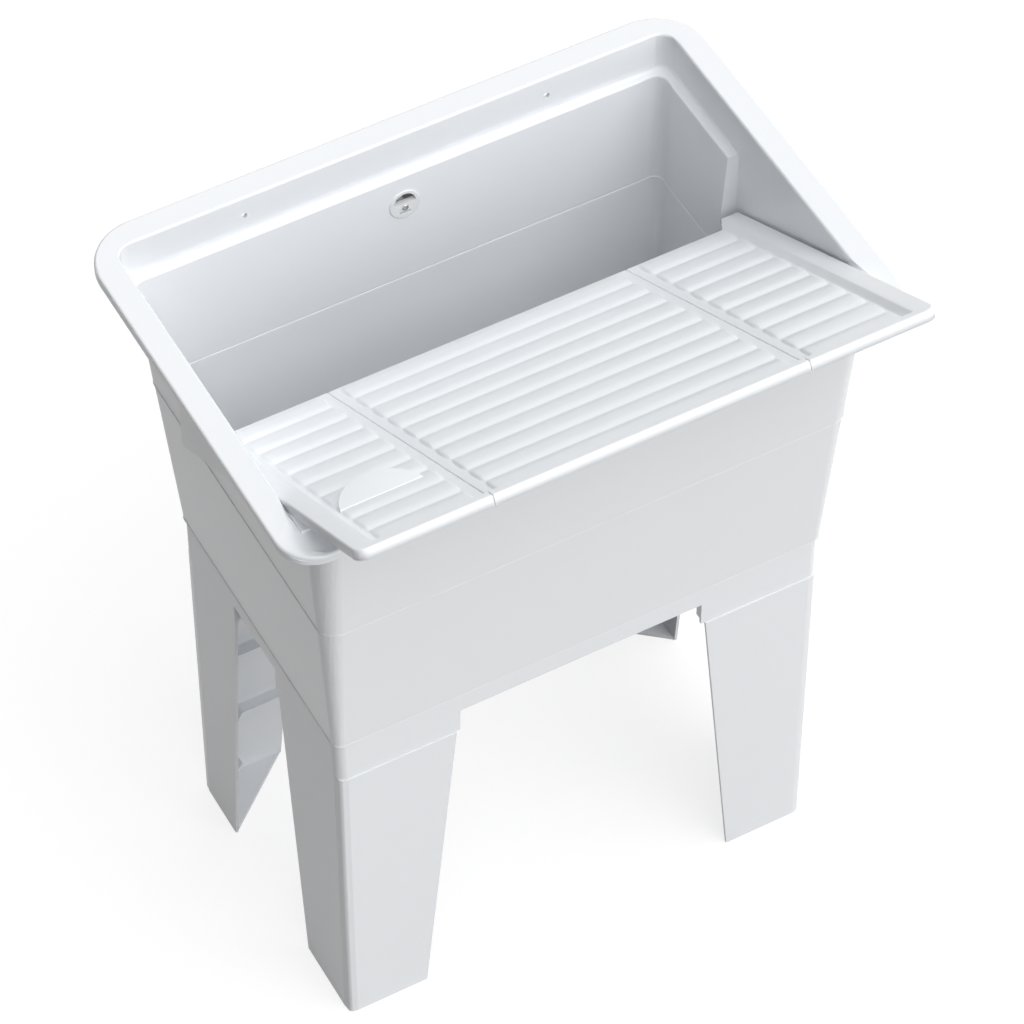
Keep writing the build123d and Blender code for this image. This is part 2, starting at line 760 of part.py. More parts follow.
with BuildPart() as board_blank:
    length_all = board_length + board_tail
    with BuildSketch(board_top.offset(-board_skirt)):
        with Locations((0, -(board_length - board_tail) / 2)):
            Rectangle(2 * board_half_width, length_all)
    extrude(amount=board_skirt + board_lip)
    corner_edges = board_blank.edges().filter_by(Axis(board_rear_point, board_top.z_dir))
    front_edges = corner_edges.sort_by(Axis.Y)[:2]
    fillet(front_edges, radius=front_corner_radius)
    lip_edges = board_blank.faces().sort_by(Axis(board_rear_point, board_top.z_dir))[-1].edges()
    fillet(lip_edges, radius=board_lip_edge)
    # well between the lips, open towards the rear
    well = []
    for height, half, front in (
        (0.0, lip_foot_x, front_lip_foot),
        (board_lip + 1, lip_top_x + (lip_top_x - lip_foot_x) / board_lip, front_lip_top + 1.4),
    ):
        with BuildSketch(board_top.offset(height), mode=Mode.PRIVATE) as outline:
            with Locations((0, -(front - 40) / 2)):
                RectangleRounded(2 * half, front + 40, well_corner_radius)
        well.append(outline.sketch)
    loft(well, ruled=True, mode=Mode.SUBTRACT)
    # rear edge between the two side lips
    with BuildSketch(board_top.offset(-board_skirt)):
        with Locations((0, board_tail)):
            Rectangle(2 * lip_foot_x, 2 * board_tail)
    extrude(amount=board_skirt + board_lip, mode=Mode.SUBTRACT)
    # hollow underside
    with BuildSketch(board_top.offset(-board_skirt)):
        with Locations((0, -board_length / 2)):
            RectangleRounded(
                2 * (board_half_width - board_sheet),
                board_length - 2 * board_sheet,
                front_corner_radius - board_sheet,
            )
    extrude(amount=board_skirt - board_sheet, mode=Mode.SUBTRACT)
    # hollow of the raised lips
    with BuildSketch(board_top.offset(-board_sheet - 0.5)):
        for side in (-1, 1):
            with Locations((side * (lip_top_x + board_half_width) / 2, -(front_lip_top - board_tail) / 2)):
                Rectangle(lip_hollow, front_lip_top - 16)
        with Locations((0, -(front_lip_top + board_length) / 2)):
            Rectangle(2 * lip_foot_x, lip_hollow)
    extrude(amount=board_lip + 0.5, mode=Mode.SUBTRACT)

seam_edge = seam_x - seam_gap / 2


def panel_from_blank(x_from, x_to):
    """The stretch of the washboard between two x positions with a web along its seams."""
    with BuildPart() as panel:
        add(board_blank.part)
        with BuildSketch(board_top.offset(-board_skirt - 1)):
            with Locations(((x_from + x_to) / 2, -board_length / 2)):
                Rectangle(x_to - x_from, board_length + 60)
        extrude(amount=board_skirt + board_lip + 2, mode=Mode.INTERSECT)
        with BuildSketch(board_top.offset(-board_skirt)):
            for edge_x, inward in ((x_from, 1), (x_to, -1)):
                if abs(edge_x) < board_half_width:
                    with Locations((edge_x + inward * seam_web / 2, -board_length / 2)):
                        Rectangle(seam_web, board_length)
        extrude(amount=board_skirt - board_sheet)
        # small notches at both ends of each seam
        with BuildSketch(board_top.offset(-board_skirt - 1)):
            for edge_x in (x_from, x_to):
                if abs(edge_x) < board_half_width:
                    seam_middle = seam_x if edge_x > 0 else -seam_x
                    for end_y, inward in ((0.0, -1), (-board_length, 1)):
                        with BuildLine():
                            Polyline(
                                (seam_middle - notch_width, end_y - inward),
                                (seam_middle - notch_width / 2, end_y),
                                (seam_middle, end_y + inward * notch_depth),
                                (seam_middle + notch_width / 2, end_y),
                                (seam_middle + notch_width, end_y - inward),
                                close=True,
                            )
                        make_face()
        extrude(amount=board_skirt + board_lip + 2, mode=Mode.SUBTRACT)
    return panel.part


left_sheet = panel_from_blank(-board_half_width, -seam_x - seam_gap / 2)
left_ribs = rib_row(-rib_side_outer_x, -rib_side_inner_x, 0.0)
left_rib_hollow = rib_row(-rib_side_outer_x, -rib_side_inner_x, board_sheet)
pad_solid = soap_pad(0.0)
pad_hollow = soap_pad(board_sheet)
with BuildPart() as board_left_panel:
    add(left_sheet)
    add(left_ribs)
    add(left_rib_hollow, mode=Mode.SUBTRACT)
    add(pad_solid)
    add(pad_hollow, mode=Mode.SUBTRACT)
    save(board_left_panel, "board_left_panel")

right_sheet = panel_from_blank(seam_x + seam_gap / 2, board_half_width)
right_ribs = rib_row(rib_side_inner_x, rib_side_outer_x, 0.0)
right_rib_hollow = rib_row(rib_side_inner_x, rib_side_outer_x, board_sheet)
with BuildPart() as board_right_panel:
    add(right_sheet)
    add(right_ribs)
    add(right_rib_hollow, mode=Mode.SUBTRACT)
    save(board_right_panel, "board_right_panel")

centre_sheet = panel_from_blank(-seam_edge, seam_edge)
centre_ribs = rib_row(-rib_centre_end, rib_centre_end, 0.0)
centre_rib_hollow = rib_row(-rib_centre_end, rib_centre_end, board_sheet)
with BuildPart() as board_centre_panel:
    add(centre_sheet)
    add(centre_ribs)
    add(centre_rib_hollow, mode=Mode.SUBTRACT)
    # hooks along both seams that reach under the webs of the side panels
    with BuildSketch(board_top.offset(-board_skirt - running_gap - seam_hook_sheet)):
        for side in (-1, 1):
            with Locations((side * (seam_edge - seam_web / 2), -board_length / 2)):
                Rectangle(seam_web, board_length - 2 * seam_hook)
    extrude(amount=seam_hook_sheet + running_gap + 0.5)
    with BuildSketch(board_top.offset(-board_skirt - running_gap - seam_hook_sheet)):
        for side in (-1, 1):
            with Locations((side * (seam_edge - seam_web + seam_hook), -board_length / 2)):
                Rectangle(2 * seam_hook, board_length - 2 * seam_hook)
    extrude(amount=seam_hook_sheet)
    save(board_centre_panel, "board_centre_panel")

# ---------------------------------------------------------------- overflow
rosette_plane = overflow_face.offset(running_gap)
with BuildPart() as overflow_rosette:
    with BuildSketch(rosette_plane):
        Circle(rosette_radius)
    extrude(amount=rosette_sheet)
    top_edge = overflow_rosette.edges().sort_by(Axis(rosette_plane.origin, rosette_plane.z_dir))[-1]
    fillet(top_edge, radius=rosette_edge)
    with BuildSketch(overflow_face.offset(-wall - 1.0)):
        Circle(overflow_hole_radius - running_gap)
    extrude(amount=wall + 1.0 + running_gap)
    with BuildSketch(overflow_face.offset(-wall - 2.0)):
        with Locations((0, rosette_moon_base)):
            Circle(rosette_moon_radius)
            with Locations((0, -rosette_moon_radius)):
                Rectangle(4 * rosette_moon_radius, 2 * rosette_moon_radius, mode=Mode.SUBTRACT)
        with Locations((0, -rosette_slit_drop)):
            Rectangle(rosette_slit_width, rosette_slit_height)
    extrude(amount=wall + 6, mode=Mode.SUBTRACT)
    with BuildSketch(overflow_face.offset(-wall - 2.0)):
        with Locations((0, rosette_screw_drop)):
            Circle(overflow_screw_radius + running_gap)
    extrude(amount=wall + 6, mode=Mode.SUBTRACT)
    save(overflow_rosette, "overflow_rosette")

with BuildPart() as overflow_gasket:
    with BuildSketch(overflow_face.offset(-wall - overflow_gasket_sheet)):
        Circle(overflow_flange_radius - 0.5)
        Circle(overflow_hole_radius + 0.6, mode=Mode.SUBTRACT)
    extrude(amount=overflow_gasket_sheet)
    save(overflow_gasket, "overflow_gasket")

overflow_back = wall + overflow_gasket_sheet
elbow_socket_top_z = overflow_z - 8
elbow_socket_low_z = overflow_z - elbow_socket_drop
pipe_seat_z = overflow_z - pipe_seat_drop
with BuildPart() as overflow_elbow:
    with BuildSketch(overflow_face.offset(-overflow_back)):
        Circle(overflow_flange_radius)
    extrude(amount=-overflow_flange)
    with BuildSketch(overflow_face.offset(-overflow_back)):
        Circle(overflow_chamber_radius)
    extrude(amount=-overflow_chamber_depth)
    with BuildSketch(Plane.XY.offset(elbow_socket_low_z)):
        with Locations((0, overflow_pipe_y)):
            Circle(overflow_pipe_radius + elbow_wall)
    extrude(amount=elbow_socket_top_z - elbow_socket_low_z)
    with BuildSketch(overflow_face.offset(-overflow_back)):
        Circle(overflow_chamber_radius - elbow_wall)
    extrude(amount=-overflow_chamber_depth + elbow_wall, mode=Mode.SUBTRACT)
    with BuildSketch(Plane.XY.offset(elbow_socket_low_z)):
        with Locations((0, overflow_pipe_y)):
            Circle(overflow_pipe_bore)
    extrude(amount=elbow_socket_top_z - elbow_socket_low_z, mode=Mode.SUBTRACT)
    with BuildSketch(Plane.XY.offset(elbow_socket_low_z)):
        with Locations((0, overflow_pipe_y)):
            Circle(overflow_pipe_radius + running_gap)
    extrude(amount=pipe_seat_z - elbow_socket_low_z, mode=Mode.SUBTRACT)
    # post that the rosette's screw bites into
    with BuildSketch(overflow_face.offset(-overflow_back - overflow_chamber_depth + 1)):
        with Locations((0, rosette_screw_drop)):
            Circle(4.5)
    extrude(amount=overflow_chamber_depth - 3)
    with BuildSketch(overflow_face.offset(-overflow_back - overflow_screw_reach)):
        with Locations((0, rosette_screw_drop)):
            Circle(overflow_screw_radius + 0.02)
    extrude(amount=overflow_chamber_depth + 2, mode=Mode.SUBTRACT)
    save(overflow_elbow, "overflow_elbow")

with BuildPart() as overflow_screw:
    with BuildSketch(rosette_plane.offset(rosette_sheet + 0.02)):
        with Locations((0, rosette_screw_drop)):
            Circle(overflow_screw_head)
    extrude(amount=1.6)
    with BuildSketch(overflow_face.offset(-overflow_back - overflow_screw_reach + 1)):
        with Locations((0, rosette_screw_drop)):
            Circle(overflow_screw_radius)
    extrude(amount=overflow_back + overflow_screw_reach + rosette_sheet)
    head_top = overflow_screw.faces().sort_by(Axis(rosette_plane.origin, rosette_plane.z_dir))[-1]
    fillet(head_top.edges(), radius=0.9)
    with BuildSketch(rosette_plane.offset(rosette_sheet + 0.9)):
        with Locations((0, rosette_screw_drop)):
            Rectangle(4.4, 0.9)
            Rectangle(0.9, 4.4)
    extrude(amount=2, mode=Mode.SUBTRACT)
    save(overflow_screw, "overflow_screw")

pipe_ring_y = overflow_pipe_y - overflow_bend
with BuildPart() as overflow_pipe:
    with BuildSketch(Plane.XY.offset(overflow_pipe_low_z + overflow_bend)):
        with Locations((0, overflow_pipe_y)):
            Circle(overflow_pipe_radius)
            Circle(overflow_pipe_bore, mode=Mode.SUBTRACT)
    extrude(amount=pipe_seat_z - 0.5 - overflow_pipe_low_z - overflow_bend)
    with BuildSketch(Plane.XY.offset(overflow_pipe_low_z + overflow_bend)):
        with Locations((0, overflow_pipe_y)):
            Circle(overflow_pipe_radius)
            Circle(overflow_pipe_bore, mode=Mode.SUBTRACT)
    bend_axis = Axis((0, pipe_ring_y, overflow_pipe_low_z + overflow_bend), (-1, 0, 0))
    revolve(axis=bend_axis, revolution_arc=90)
    with BuildSketch(Plane.XZ.offset(-pipe_ring_y)):
        with Locations((0, overflow_pipe_low_z)):
            Circle(overflow_pipe_radius)
            Circle(overflow_pipe_bore, mode=Mode.SUBTRACT)
    extrude(amount=pipe_ring_y - inlet_seat_y - 0.5)
    save(overflow_pipe, "overflow_pipe")

# ---------------------------------------------------------------- waste and plug
gasket_top_z = seat_z + waste_gasket_sheet
with BuildPart() as waste_gasket_upper:
    with BuildSketch(Plane.XY.offset(seat_z)):
        with Locations(drain_centre):
            Circle(strainer_radius - 1.5)
            Circle(drain_hole_radius + 1.0, mode=Mode.SUBTRACT)
    extrude(amount=waste_gasket_sheet)
    save(waste_gasket_upper, "waste_gasket_upper")

with BuildPart() as waste_strainer:
    with BuildSketch(Plane.XY.offset(gasket_top_z)):
        with Locations(drain_centre):
            Circle(strainer_radius)
    extrude(amount=strainer_sheet)
    with BuildSketch(Plane.XY.offset(strainer_floor_z)):
        with Locations(drain_centre):
            Circle(strainer_cup_radius)
    extrude(amount=gasket_top_z - strainer_floor_z)
    with BuildSketch(Plane.XY.offset(strainer_floor_z + strainer_sheet)):
        with Locations(drain_centre):
            Circle(strainer_cup_radius - strainer_sheet)
    extrude(amount=30, mode=Mode.SUBTRACT)
    with BuildSketch(Plane.XY.offset(strainer_floor_z)):
        with Locations(drain_centre):
            Circle(waste_screw_radius + running_gap)
            with PolarLocations(0.6 * strainer_cup_radius - 0.9, 8):
                Circle(strainer_hole_radius)
    extrude(amount=strainer_sheet, mode=Mode.SUBTRACT)
    save(waste_strainer, "waste_strainer")

plug_seat_z = gasket_top_z + strainer_sheet + 0.02
with BuildPart() as drain_plug:
    with BuildSketch(Plane.XZ.offset(-drain_y)):
        with BuildLine():
            Polyline(
                (0, plug_seat_z - plug_depth + 3),
                (plug_low_radius - 6, plug_seat_z - plug_depth + 3),
                (plug_low_radius - 6, plug_seat_z - plug_depth),
                (plug_low_radius, plug_seat_z - plug_depth),
                (plug_top_radius, plug_seat_z),
                (plug_flange_radius, plug_seat_z),
                (plug_flange_radius, plug_seat_z + 2.2),
                (plug_flange_radius - 1.6, plug_seat_z + 3.6),
                (9.0, plug_seat_z + 4.6),
                (5.0, plug_seat_z + 6.6),
                (4.2, plug_seat_z + 12.0),
                (7.6, plug_seat_z + 15.0),
                (7.6, plug_seat_z + 17.0),
                (5.4, plug_seat_z + 19.4),
                (0, plug_seat_z + 19.8),
                close=True,
            )
        make_face()
    revolve(axis=drain_axis)
    save(drain_plug, "drain_plug")

flange_top_z = boss_under_z - waste_gasket_sheet
with BuildPart() as waste_gasket_lower:
    with BuildSketch(Plane.XY.offset(flange_top_z)):
        with Locations(drain_centre):
            Circle(waste_flange_radius - 1.0)
            Circle(waste_cup_radius + 1.0, mode=Mode.SUBTRACT)
    extrude(amount=waste_gasket_sheet)
    save(waste_gasket_lower, "waste_gasket_lower")

with BuildPart() as waste_body:
    with BuildSketch(Plane.XZ.offset(-drain_y)):
        with BuildLine():
            Polyline(
                (0, flange_top_z),
                (waste_flange_radius, flange_top_z),
                (waste_flange_radius, flange_top_z - waste_wall),
                (waste_cup_radius, flange_top_z - waste_wall),
                (waste_cup_radius, waste_cone_z + 8),
                (waste_outlet_radius, waste_cone_z),
                (waste_outlet_radius, waste_outlet_z),
                (0, waste_outlet_z),
                close=True,
            )
        make_face()
    revolve(axis=drain_axis)
    # side inlet for the overflow pipe
    with BuildSketch(Plane.XZ.offset(-drain_y)):
        with Locations((0, overflow_pipe_low_z)):
            Circle(overflow_pipe_radius + elbow_wall)
    extrude(amount=-waste_cup_radius - inlet_reach)
    with BuildSketch(Plane.XZ.offset(-drain_y)):
        with BuildLine():
            Polyline(
                (0, flange_top_z + 1),
                (waste_cup_radius - waste_wall, flange_top_z + 1),
                (waste_cup_radius - waste_wall, waste_cone_z + 9.5),
                (waste_outlet_bore, waste_cone_z + 1.5),
                (waste_outlet_bore, waste_outlet_z - 1),
                (0, waste_outlet_z - 1),
                close=True,
            )
        make_face()
    revolve(axis=drain_axis, mode=Mode.SUBTRACT)
    with BuildSketch(Plane.XZ.offset(-drain_y)):
        with Locations((0, overflow_pipe_low_z)):
            Circle(overflow_pipe_bore)
    extrude(amount=-waste_cup_radius - inlet_reach - 1, mode=Mode.SUBTRACT)
    with BuildSketch(Plane.XZ.offset(-inlet_seat_y)):
        with Locations((0, overflow_pipe_low_z)):
            Circle(overflow_pipe_radius + running_gap)
    extrude(amount=-inlet_reach, mode=Mode.SUBTRACT)
    # bridge with the boss that the strainer's screw bites into
    with BuildSketch(Plane.XY.offset(waste_bridge_z)):
        with Locations(drain_centre):
            Circle(6.5)
            Rectangle(2 * waste_cup_radius - 2, 5, rotation=35)
            Rectangle(2 * waste_cup_radius - 2, 5, rotation=125)
    extrude(amount=waste_bridge_height)
    with BuildSketch(Plane.XY.offset(waste_bridge_z - 1)):
        with Locations(drain_centre):
            Circle(waste_screw_radius + 0.02)
    extrude(amount=20, mode=Mode.SUBTRACT)
    save(waste_body, "waste_body")

with BuildPart() as waste_screw:
    with BuildSketch(Plane.XY.offset(waste_bridge_z + 1)):
        with Locations(drain_centre):
            Circle(waste_screw_radius)
    extrude(amount=strainer_floor_z + strainer_sheet + 1 - waste_bridge_z)
    with BuildSketch(Plane.XY.offset(strainer_floor_z + strainer_sheet + 0.02)):
        with Locations(drain_centre):
            Circle(waste_screw_head)
    extrude(amount=2.0)
    with BuildSketch(Plane.XY.offset(strainer_floor_z + strainer_sheet + 1.0)):
        with Locations(drain_centre):
            Rectangle(8, 1.2)
    extrude(amount=3, mode=Mode.SUBTRACT)
    save(waste_screw, "waste_screw")

# two nuts that clamp the overflow pipe, one at the elbow and one at the waste inlet
with BuildPart() as overflow_pipe_nuts:
    with BuildSketch(Plane.XY.offset(elbow_socket_low_z - pipe_nut_lip - running_gap)):
        with Locations((0, overflow_pipe_y)):
            RegularPolygon(pipe_nut_radius, 8)
            Circle(overflow_pipe_radius + running_gap, mode=Mode.SUBTRACT)
    extrude(amount=pipe_nut_length)
    with BuildSketch(Plane.XY.offset(elbow_socket_low_z - running_gap)):
        with Locations((0, overflow_pipe_y)):
            Circle(overflow_pipe_radius + elbow_wall + running_gap)
    extrude(amount=pipe_nut_length, mode=Mode.SUBTRACT)
    inlet_end_y = drain_y + waste_cup_radius + inlet_reach
    with BuildSketch(Plane.XZ.offset(-inlet_end_y - pipe_nut_lip - running_gap)):
        with Locations((0, overflow_pipe_low_z)):
            RegularPolygon(pipe_nut_radius, 8)
            Circle(overflow_pipe_radius + running_gap, mode=Mode.SUBTRACT)
    extrude(amount=pipe_nut_length)
    with BuildSketch(Plane.XZ.offset(-inlet_end_y - running_gap)):
        with Locations((0, overflow_pipe_low_z)):
            Circle(overflow_pipe_radius + elbow_wall + running_gap)
    extrude(amount=pipe_nut_length, mode=Mode.SUBTRACT)
    save(overflow_pipe_nuts, "overflow_pipe_nuts")

# ---------------------------------------------------------------- bottle trap
washer_low_z = waste_outlet_z - trap_washer_sheet
with BuildPart() as trap_inlet_washer:
    with BuildSketch(Plane.XY.offset(washer_low_z)):
        with Locations(drain_centre):
            Circle(waste_outlet_radius - 0.3)
            Circle(trap_neck_bore, mode=Mode.SUBTRACT)
    extrude(amount=trap_washer_sheet)
    save(trap_inlet_washer, "trap_inlet_washer")

neck_flange_low_z = washer_low_z - trap_wall
with BuildPart() as trap_inlet_nut:
    with BuildSketch(Plane.XY.offset(neck_flange_low_z - trap_wall - running_gap)):
        with Locations(drain_centre):
            RegularPolygon(trap_nut_radius, 12)
            Circle(trap_neck_radius + running_gap, mode=Mode.SUBTRACT)
    extrude(amount=trap_nut_height)
    with BuildSketch(Plane.XY.offset(neck_flange_low_z - running_gap)):
        with Locations(drain_centre):
            Circle(waste_outlet_radius + running_gap)
    extrude(amount=trap_nut_height, mode=Mode.SUBTRACT)
    save(trap_inlet_nut, "trap_inlet_nut")

with BuildPart() as trap_body:
    with BuildSketch(Plane.XY.offset(trap_body_low_z)):
        with Locations(drain_centre):
            Circle(trap_body_radius)
    extrude(amount=trap_body_top_z - trap_body_low_z)
    fillet(trap_body.edges().sort_by(Axis.Z)[-1], radius=4)
    with BuildSketch(Plane.XZ.offset(-drain_y)):
        with Locations((0, trap_outlet_z)):
            Circle(trap_spigot_radius)
    extrude(amount=-trap_body_radius - trap_spigot_reach)
    with BuildSketch(Plane.XY.offset(trap_body_low_z)):
        with Locations(drain_centre):
            Circle(trap_body_radius - trap_wall)
    extrude(amount=trap_body_top_z - trap_wall - trap_body_low_z, mode=Mode.SUBTRACT)
    with BuildSketch(Plane.XZ.offset(-drain_y - trap_neck_radius - 3)):
        with Locations((0, trap_outlet_z)):
            Circle(outlet_pipe_bore)
    extrude(amount=-trap_body_radius - trap_spigot_reach, mode=Mode.SUBTRACT)
    with BuildSketch(Plane.XZ.offset(-drain_y - trap_body_radius - 3)):
        with Locations((0, trap_outlet_z)):
            Circle(outlet_pipe_radius + running_gap)
    extrude(amount=-trap_spigot_reach, mode=Mode.SUBTRACT)
    # neck with its flange, and the dip tube inside
    with BuildSketch(Plane.XY.offset(trap_tube_low_z)):
        with Locations(drain_centre):
            Circle(trap_neck_radius)
    extrude(amount=washer_low_z - trap_tube_low_z)
    with BuildSketch(Plane.XY.offset(neck_flange_low_z)):
        with Locations(drain_centre):
            Circle(waste_outlet_radius - 0.2)
    extrude(amount=trap_wall)
    with BuildSketch(Plane.XY.offset(trap_tube_low_z)):
        with Locations(drain_centre):
            Circle(trap_neck_bore)
    extrude(amount=washer_low_z - trap_tube_low_z, mode=Mode.SUBTRACT)
    save(trap_body, "trap_body")

with BuildPart() as trap_cup_seal:
    with BuildSketch(Plane.XY.offset(trap_body_low_z - trap_seal_sheet)):
        with Locations(drain_centre):
            Circle(trap_body_radius)
            Circle(trap_body_radius - trap_wall, mode=Mode.SUBTRACT)
    extrude(amount=trap_seal_sheet)
    save(trap_cup_seal, "trap_cup_seal")

seal_low_z = trap_body_low_z - trap_seal_sheet
with BuildPart() as trap_cup:
    with BuildSketch(Plane.XZ.offset(-drain_y)):
        with BuildLine():
            Polyline(
                (0, trap_cup_low_z),
                (trap_cup_radius - 9, trap_cup_low_z),
                (trap_cup_radius - 3, trap_cup_low_z + 6),
                (trap_cup_radius - 3, seal_low_z - 4),
                (trap_cup_radius, seal_low_z - 1),
                (trap_cup_radius, trap_cup_top_z),
                (trap_body_radius + running_gap, trap_cup_top_z),
                (trap_body_radius + running_gap, seal_low_z),
                (trap_body_radius - trap_wall, seal_low_z),
                (trap_body_radius - trap_wall, trap_cup_low_z + 8),
                (trap_body_radius - trap_wall - 5, trap_cup_low_z + trap_wall),
                (0, trap_cup_low_z + trap_wall),
                close=True,
            )
        make_face()
    revolve(axis=drain_axis)
    with BuildSketch(Plane.XY.offset(seal_low_z)):
        with Locations(drain_centre):
            with PolarLocations(trap_cup_radius - 0.5, 12):
                Rectangle(5, 4)
    extrude(amount=trap_cup_top_z - seal_low_z - 2)
    with BuildSketch(Plane.XY.offset(seal_low_z)):
        with Locations(drain_centre):
            Circle(trap_body_radius + running_gap)
    extrude(amount=trap_cup_top_z - seal_low_z, mode=Mode.SUBTRACT)
    save(trap_cup, "trap_cup")

spigot_end_y = drain_y + trap_body_radius + trap_spigot_reach
with BuildPart() as trap_outlet_washer:
    with BuildSketch(Plane.XZ.offset(-spigot_end_y)):
        with Locations((0, trap_outlet_z)):
            Circle(trap_spigot_radius)
            Circle(outlet_pipe_radius + running_gap, mode=Mode.SUBTRACT)
    extrude(amount=-trap_washer_sheet)
    save(trap_outlet_washer, "trap_outlet_washer")

nut_end_y = spigot_end_y + trap_washer_sheet + trap_wall
with BuildPart() as trap_outlet_nut:
    with BuildSketch(Plane.XZ.offset(-nut_end_y)):
        with Locations((0, trap_outlet_z)):
            RegularPolygon(outlet_nut_radius, 12)
            Circle(outlet_pipe_radius + running_gap, mode=Mode.SUBTRACT)
    extrude(amount=outlet_nut_length)
    with BuildSketch(Plane.XZ.offset(-spigot_end_y - trap_washer_sheet)):
        with Locations((0, trap_outlet_z)):
            Circle(trap_spigot_radius + running_gap)
    extrude(amount=outlet_nut_length + 5, mode=Mode.SUBTRACT)
    save(trap_outlet_nut, "trap_outlet_nut")

with BuildPart() as trap_outlet_pipe:
    with BuildSketch(Plane.XZ.offset(-trap_outlet_end_y)):
        with Locations((0, trap_outlet_z)):
            Circle(outlet_pipe_radius)
    extrude(amount=trap_outlet_end_y - drain_y - trap_body_radius - 3.5)
    # stop bead that limits how far the waste hose is pushed on
    with BuildSketch(Plane.XZ.offset(-trap_outlet_end_y + outlet_free_length)):
        with Locations((0, trap_outlet_z)):
            Circle(outlet_pipe_radius + outlet_bead_height)
    extrude(amount=outlet_bead_width)
    with BuildSketch(Plane.XZ.offset(-trap_outlet_end_y)):
        with Locations((0, trap_outlet_z)):
            Circle(outlet_pipe_bore)
    extrude(amount=trap_outlet_end_y - drain_y, mode=Mode.SUBTRACT)
    save(trap_outlet_pipe, "trap_outlet_pipe")
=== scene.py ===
"""Looks of a free-standing utility laundry sink with a lift-off inclined washboard.

Metres, +Z up, +X to the right, -Y towards the person washing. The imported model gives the
frame; this file adds finishes, softened shells and the moulded washboard panels.
"""

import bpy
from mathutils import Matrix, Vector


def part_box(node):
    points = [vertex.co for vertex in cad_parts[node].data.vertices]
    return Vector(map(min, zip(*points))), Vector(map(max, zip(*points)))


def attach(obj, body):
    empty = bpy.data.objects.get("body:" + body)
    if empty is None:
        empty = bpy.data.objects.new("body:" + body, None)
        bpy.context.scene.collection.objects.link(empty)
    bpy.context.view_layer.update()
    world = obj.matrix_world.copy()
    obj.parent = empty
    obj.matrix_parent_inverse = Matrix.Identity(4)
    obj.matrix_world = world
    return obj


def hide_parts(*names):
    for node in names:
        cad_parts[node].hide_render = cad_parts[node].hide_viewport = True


bl_info = {
    "name": "Utility laundry sink",
    "version": (1, 0, 0),
    "blender": (4, 5, 0),
    "location": "View3D > Sidebar > Laundry sink",
    "description": "Finishes, washboard and studio of a free-standing utility laundry sink",
    "category": "Object",
}

from math import cos, hypot, radians, sin, sqrt

import bmesh
import bpy
from bpy.props import FloatProperty, FloatVectorProperty, IntProperty, PointerProperty
from mathutils import Matrix, Vector

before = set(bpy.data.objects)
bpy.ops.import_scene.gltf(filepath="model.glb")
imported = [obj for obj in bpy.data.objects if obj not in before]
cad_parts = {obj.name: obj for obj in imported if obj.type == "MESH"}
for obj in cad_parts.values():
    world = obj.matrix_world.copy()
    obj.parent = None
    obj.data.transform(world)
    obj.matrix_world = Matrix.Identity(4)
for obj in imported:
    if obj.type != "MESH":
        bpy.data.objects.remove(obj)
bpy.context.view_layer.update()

MM = 0.001


# ------------------------------------------------------------------ properties
class SINK_PG_washboard(bpy.types.PropertyGroup):
    """Sizes of the washboard, measured in its own sloping plane."""

    tilt: FloatProperty(
        name="Tilt", description="Slope of the washboard", default=radians(30.28), unit="ROTATION")
    rear_y: FloatProperty(
        name="Rear edge", description="Y of the rear edge's top", default=0.07583, unit="LENGTH")
    rear_z: FloatProperty(
        name="Rear height", description="Height of the rear edge's top", default=0.7518, unit="LENGTH")
    length: FloatProperty(
        name="Length", description="Length down the slope", default=0.409, unit="LENGTH")
    half_width: FloatProperty(
        name="Half width", description="Middle to outer edge", default=0.318, unit="LENGTH")
    seam: FloatProperty(
        name="Seam", description="Distance of each seam from the middle", default=0.1733, unit="LENGTH")
    seam_gap: FloatProperty(
        name="Seam gap", description="Open width of a seam", default=0.0006, unit="LENGTH")
    sheet: FloatProperty(
        name="Sheet", description="Thickness of the plastic", default=0.003, unit="LENGTH")
    skirt: FloatProperty(
        name="Skirt", description="Depth of the skirt under the sheet", default=0.006, unit="LENGTH")
    lip: FloatProperty(
        name="Lip", description="Height of the raised edge", default=0.0056, unit="LENGTH")
    rib_pitch: FloatProperty(
        name="Rib pitch", description="Distance from rib to rib", default=0.0396, unit="LENGTH")
    rib_height: FloatProperty(
        name="Rib height", description="Crest above valley", default=0.0024, unit="LENGTH")
    rib_count: IntProperty(name="Ribs", description="Number of ribs", default=10)


class SINK_PG_tub(bpy.types.PropertyGroup):
    """Radii and lines of the moulded tub."""

    rim_radius: FloatProperty(
        name="Rim corners", description="Plan radius of the rim's rear corners", default=0.06, unit="LENGTH")
    basin_radius: FloatProperty(
        name="Basin corners", description="Plan radius of the basin's rear corners at the ledge",
        default=0.014, unit="LENGTH")
    mould_lip: FloatProperty(
        name="Mould line", description="How far the mould line stands out", default=0.0007, unit="LENGTH")
    leg_front: FloatProperty(
        name="Leg shoulder, end", description="Step of the leg's end face outwards under the skirt",
        default=0.0049, unit="LENGTH")
    leg_side: FloatProperty(
        name="Leg shoulder, side", description="Step of the leg's side face outwards under the skirt",
        default=0.0022, unit="LENGTH")


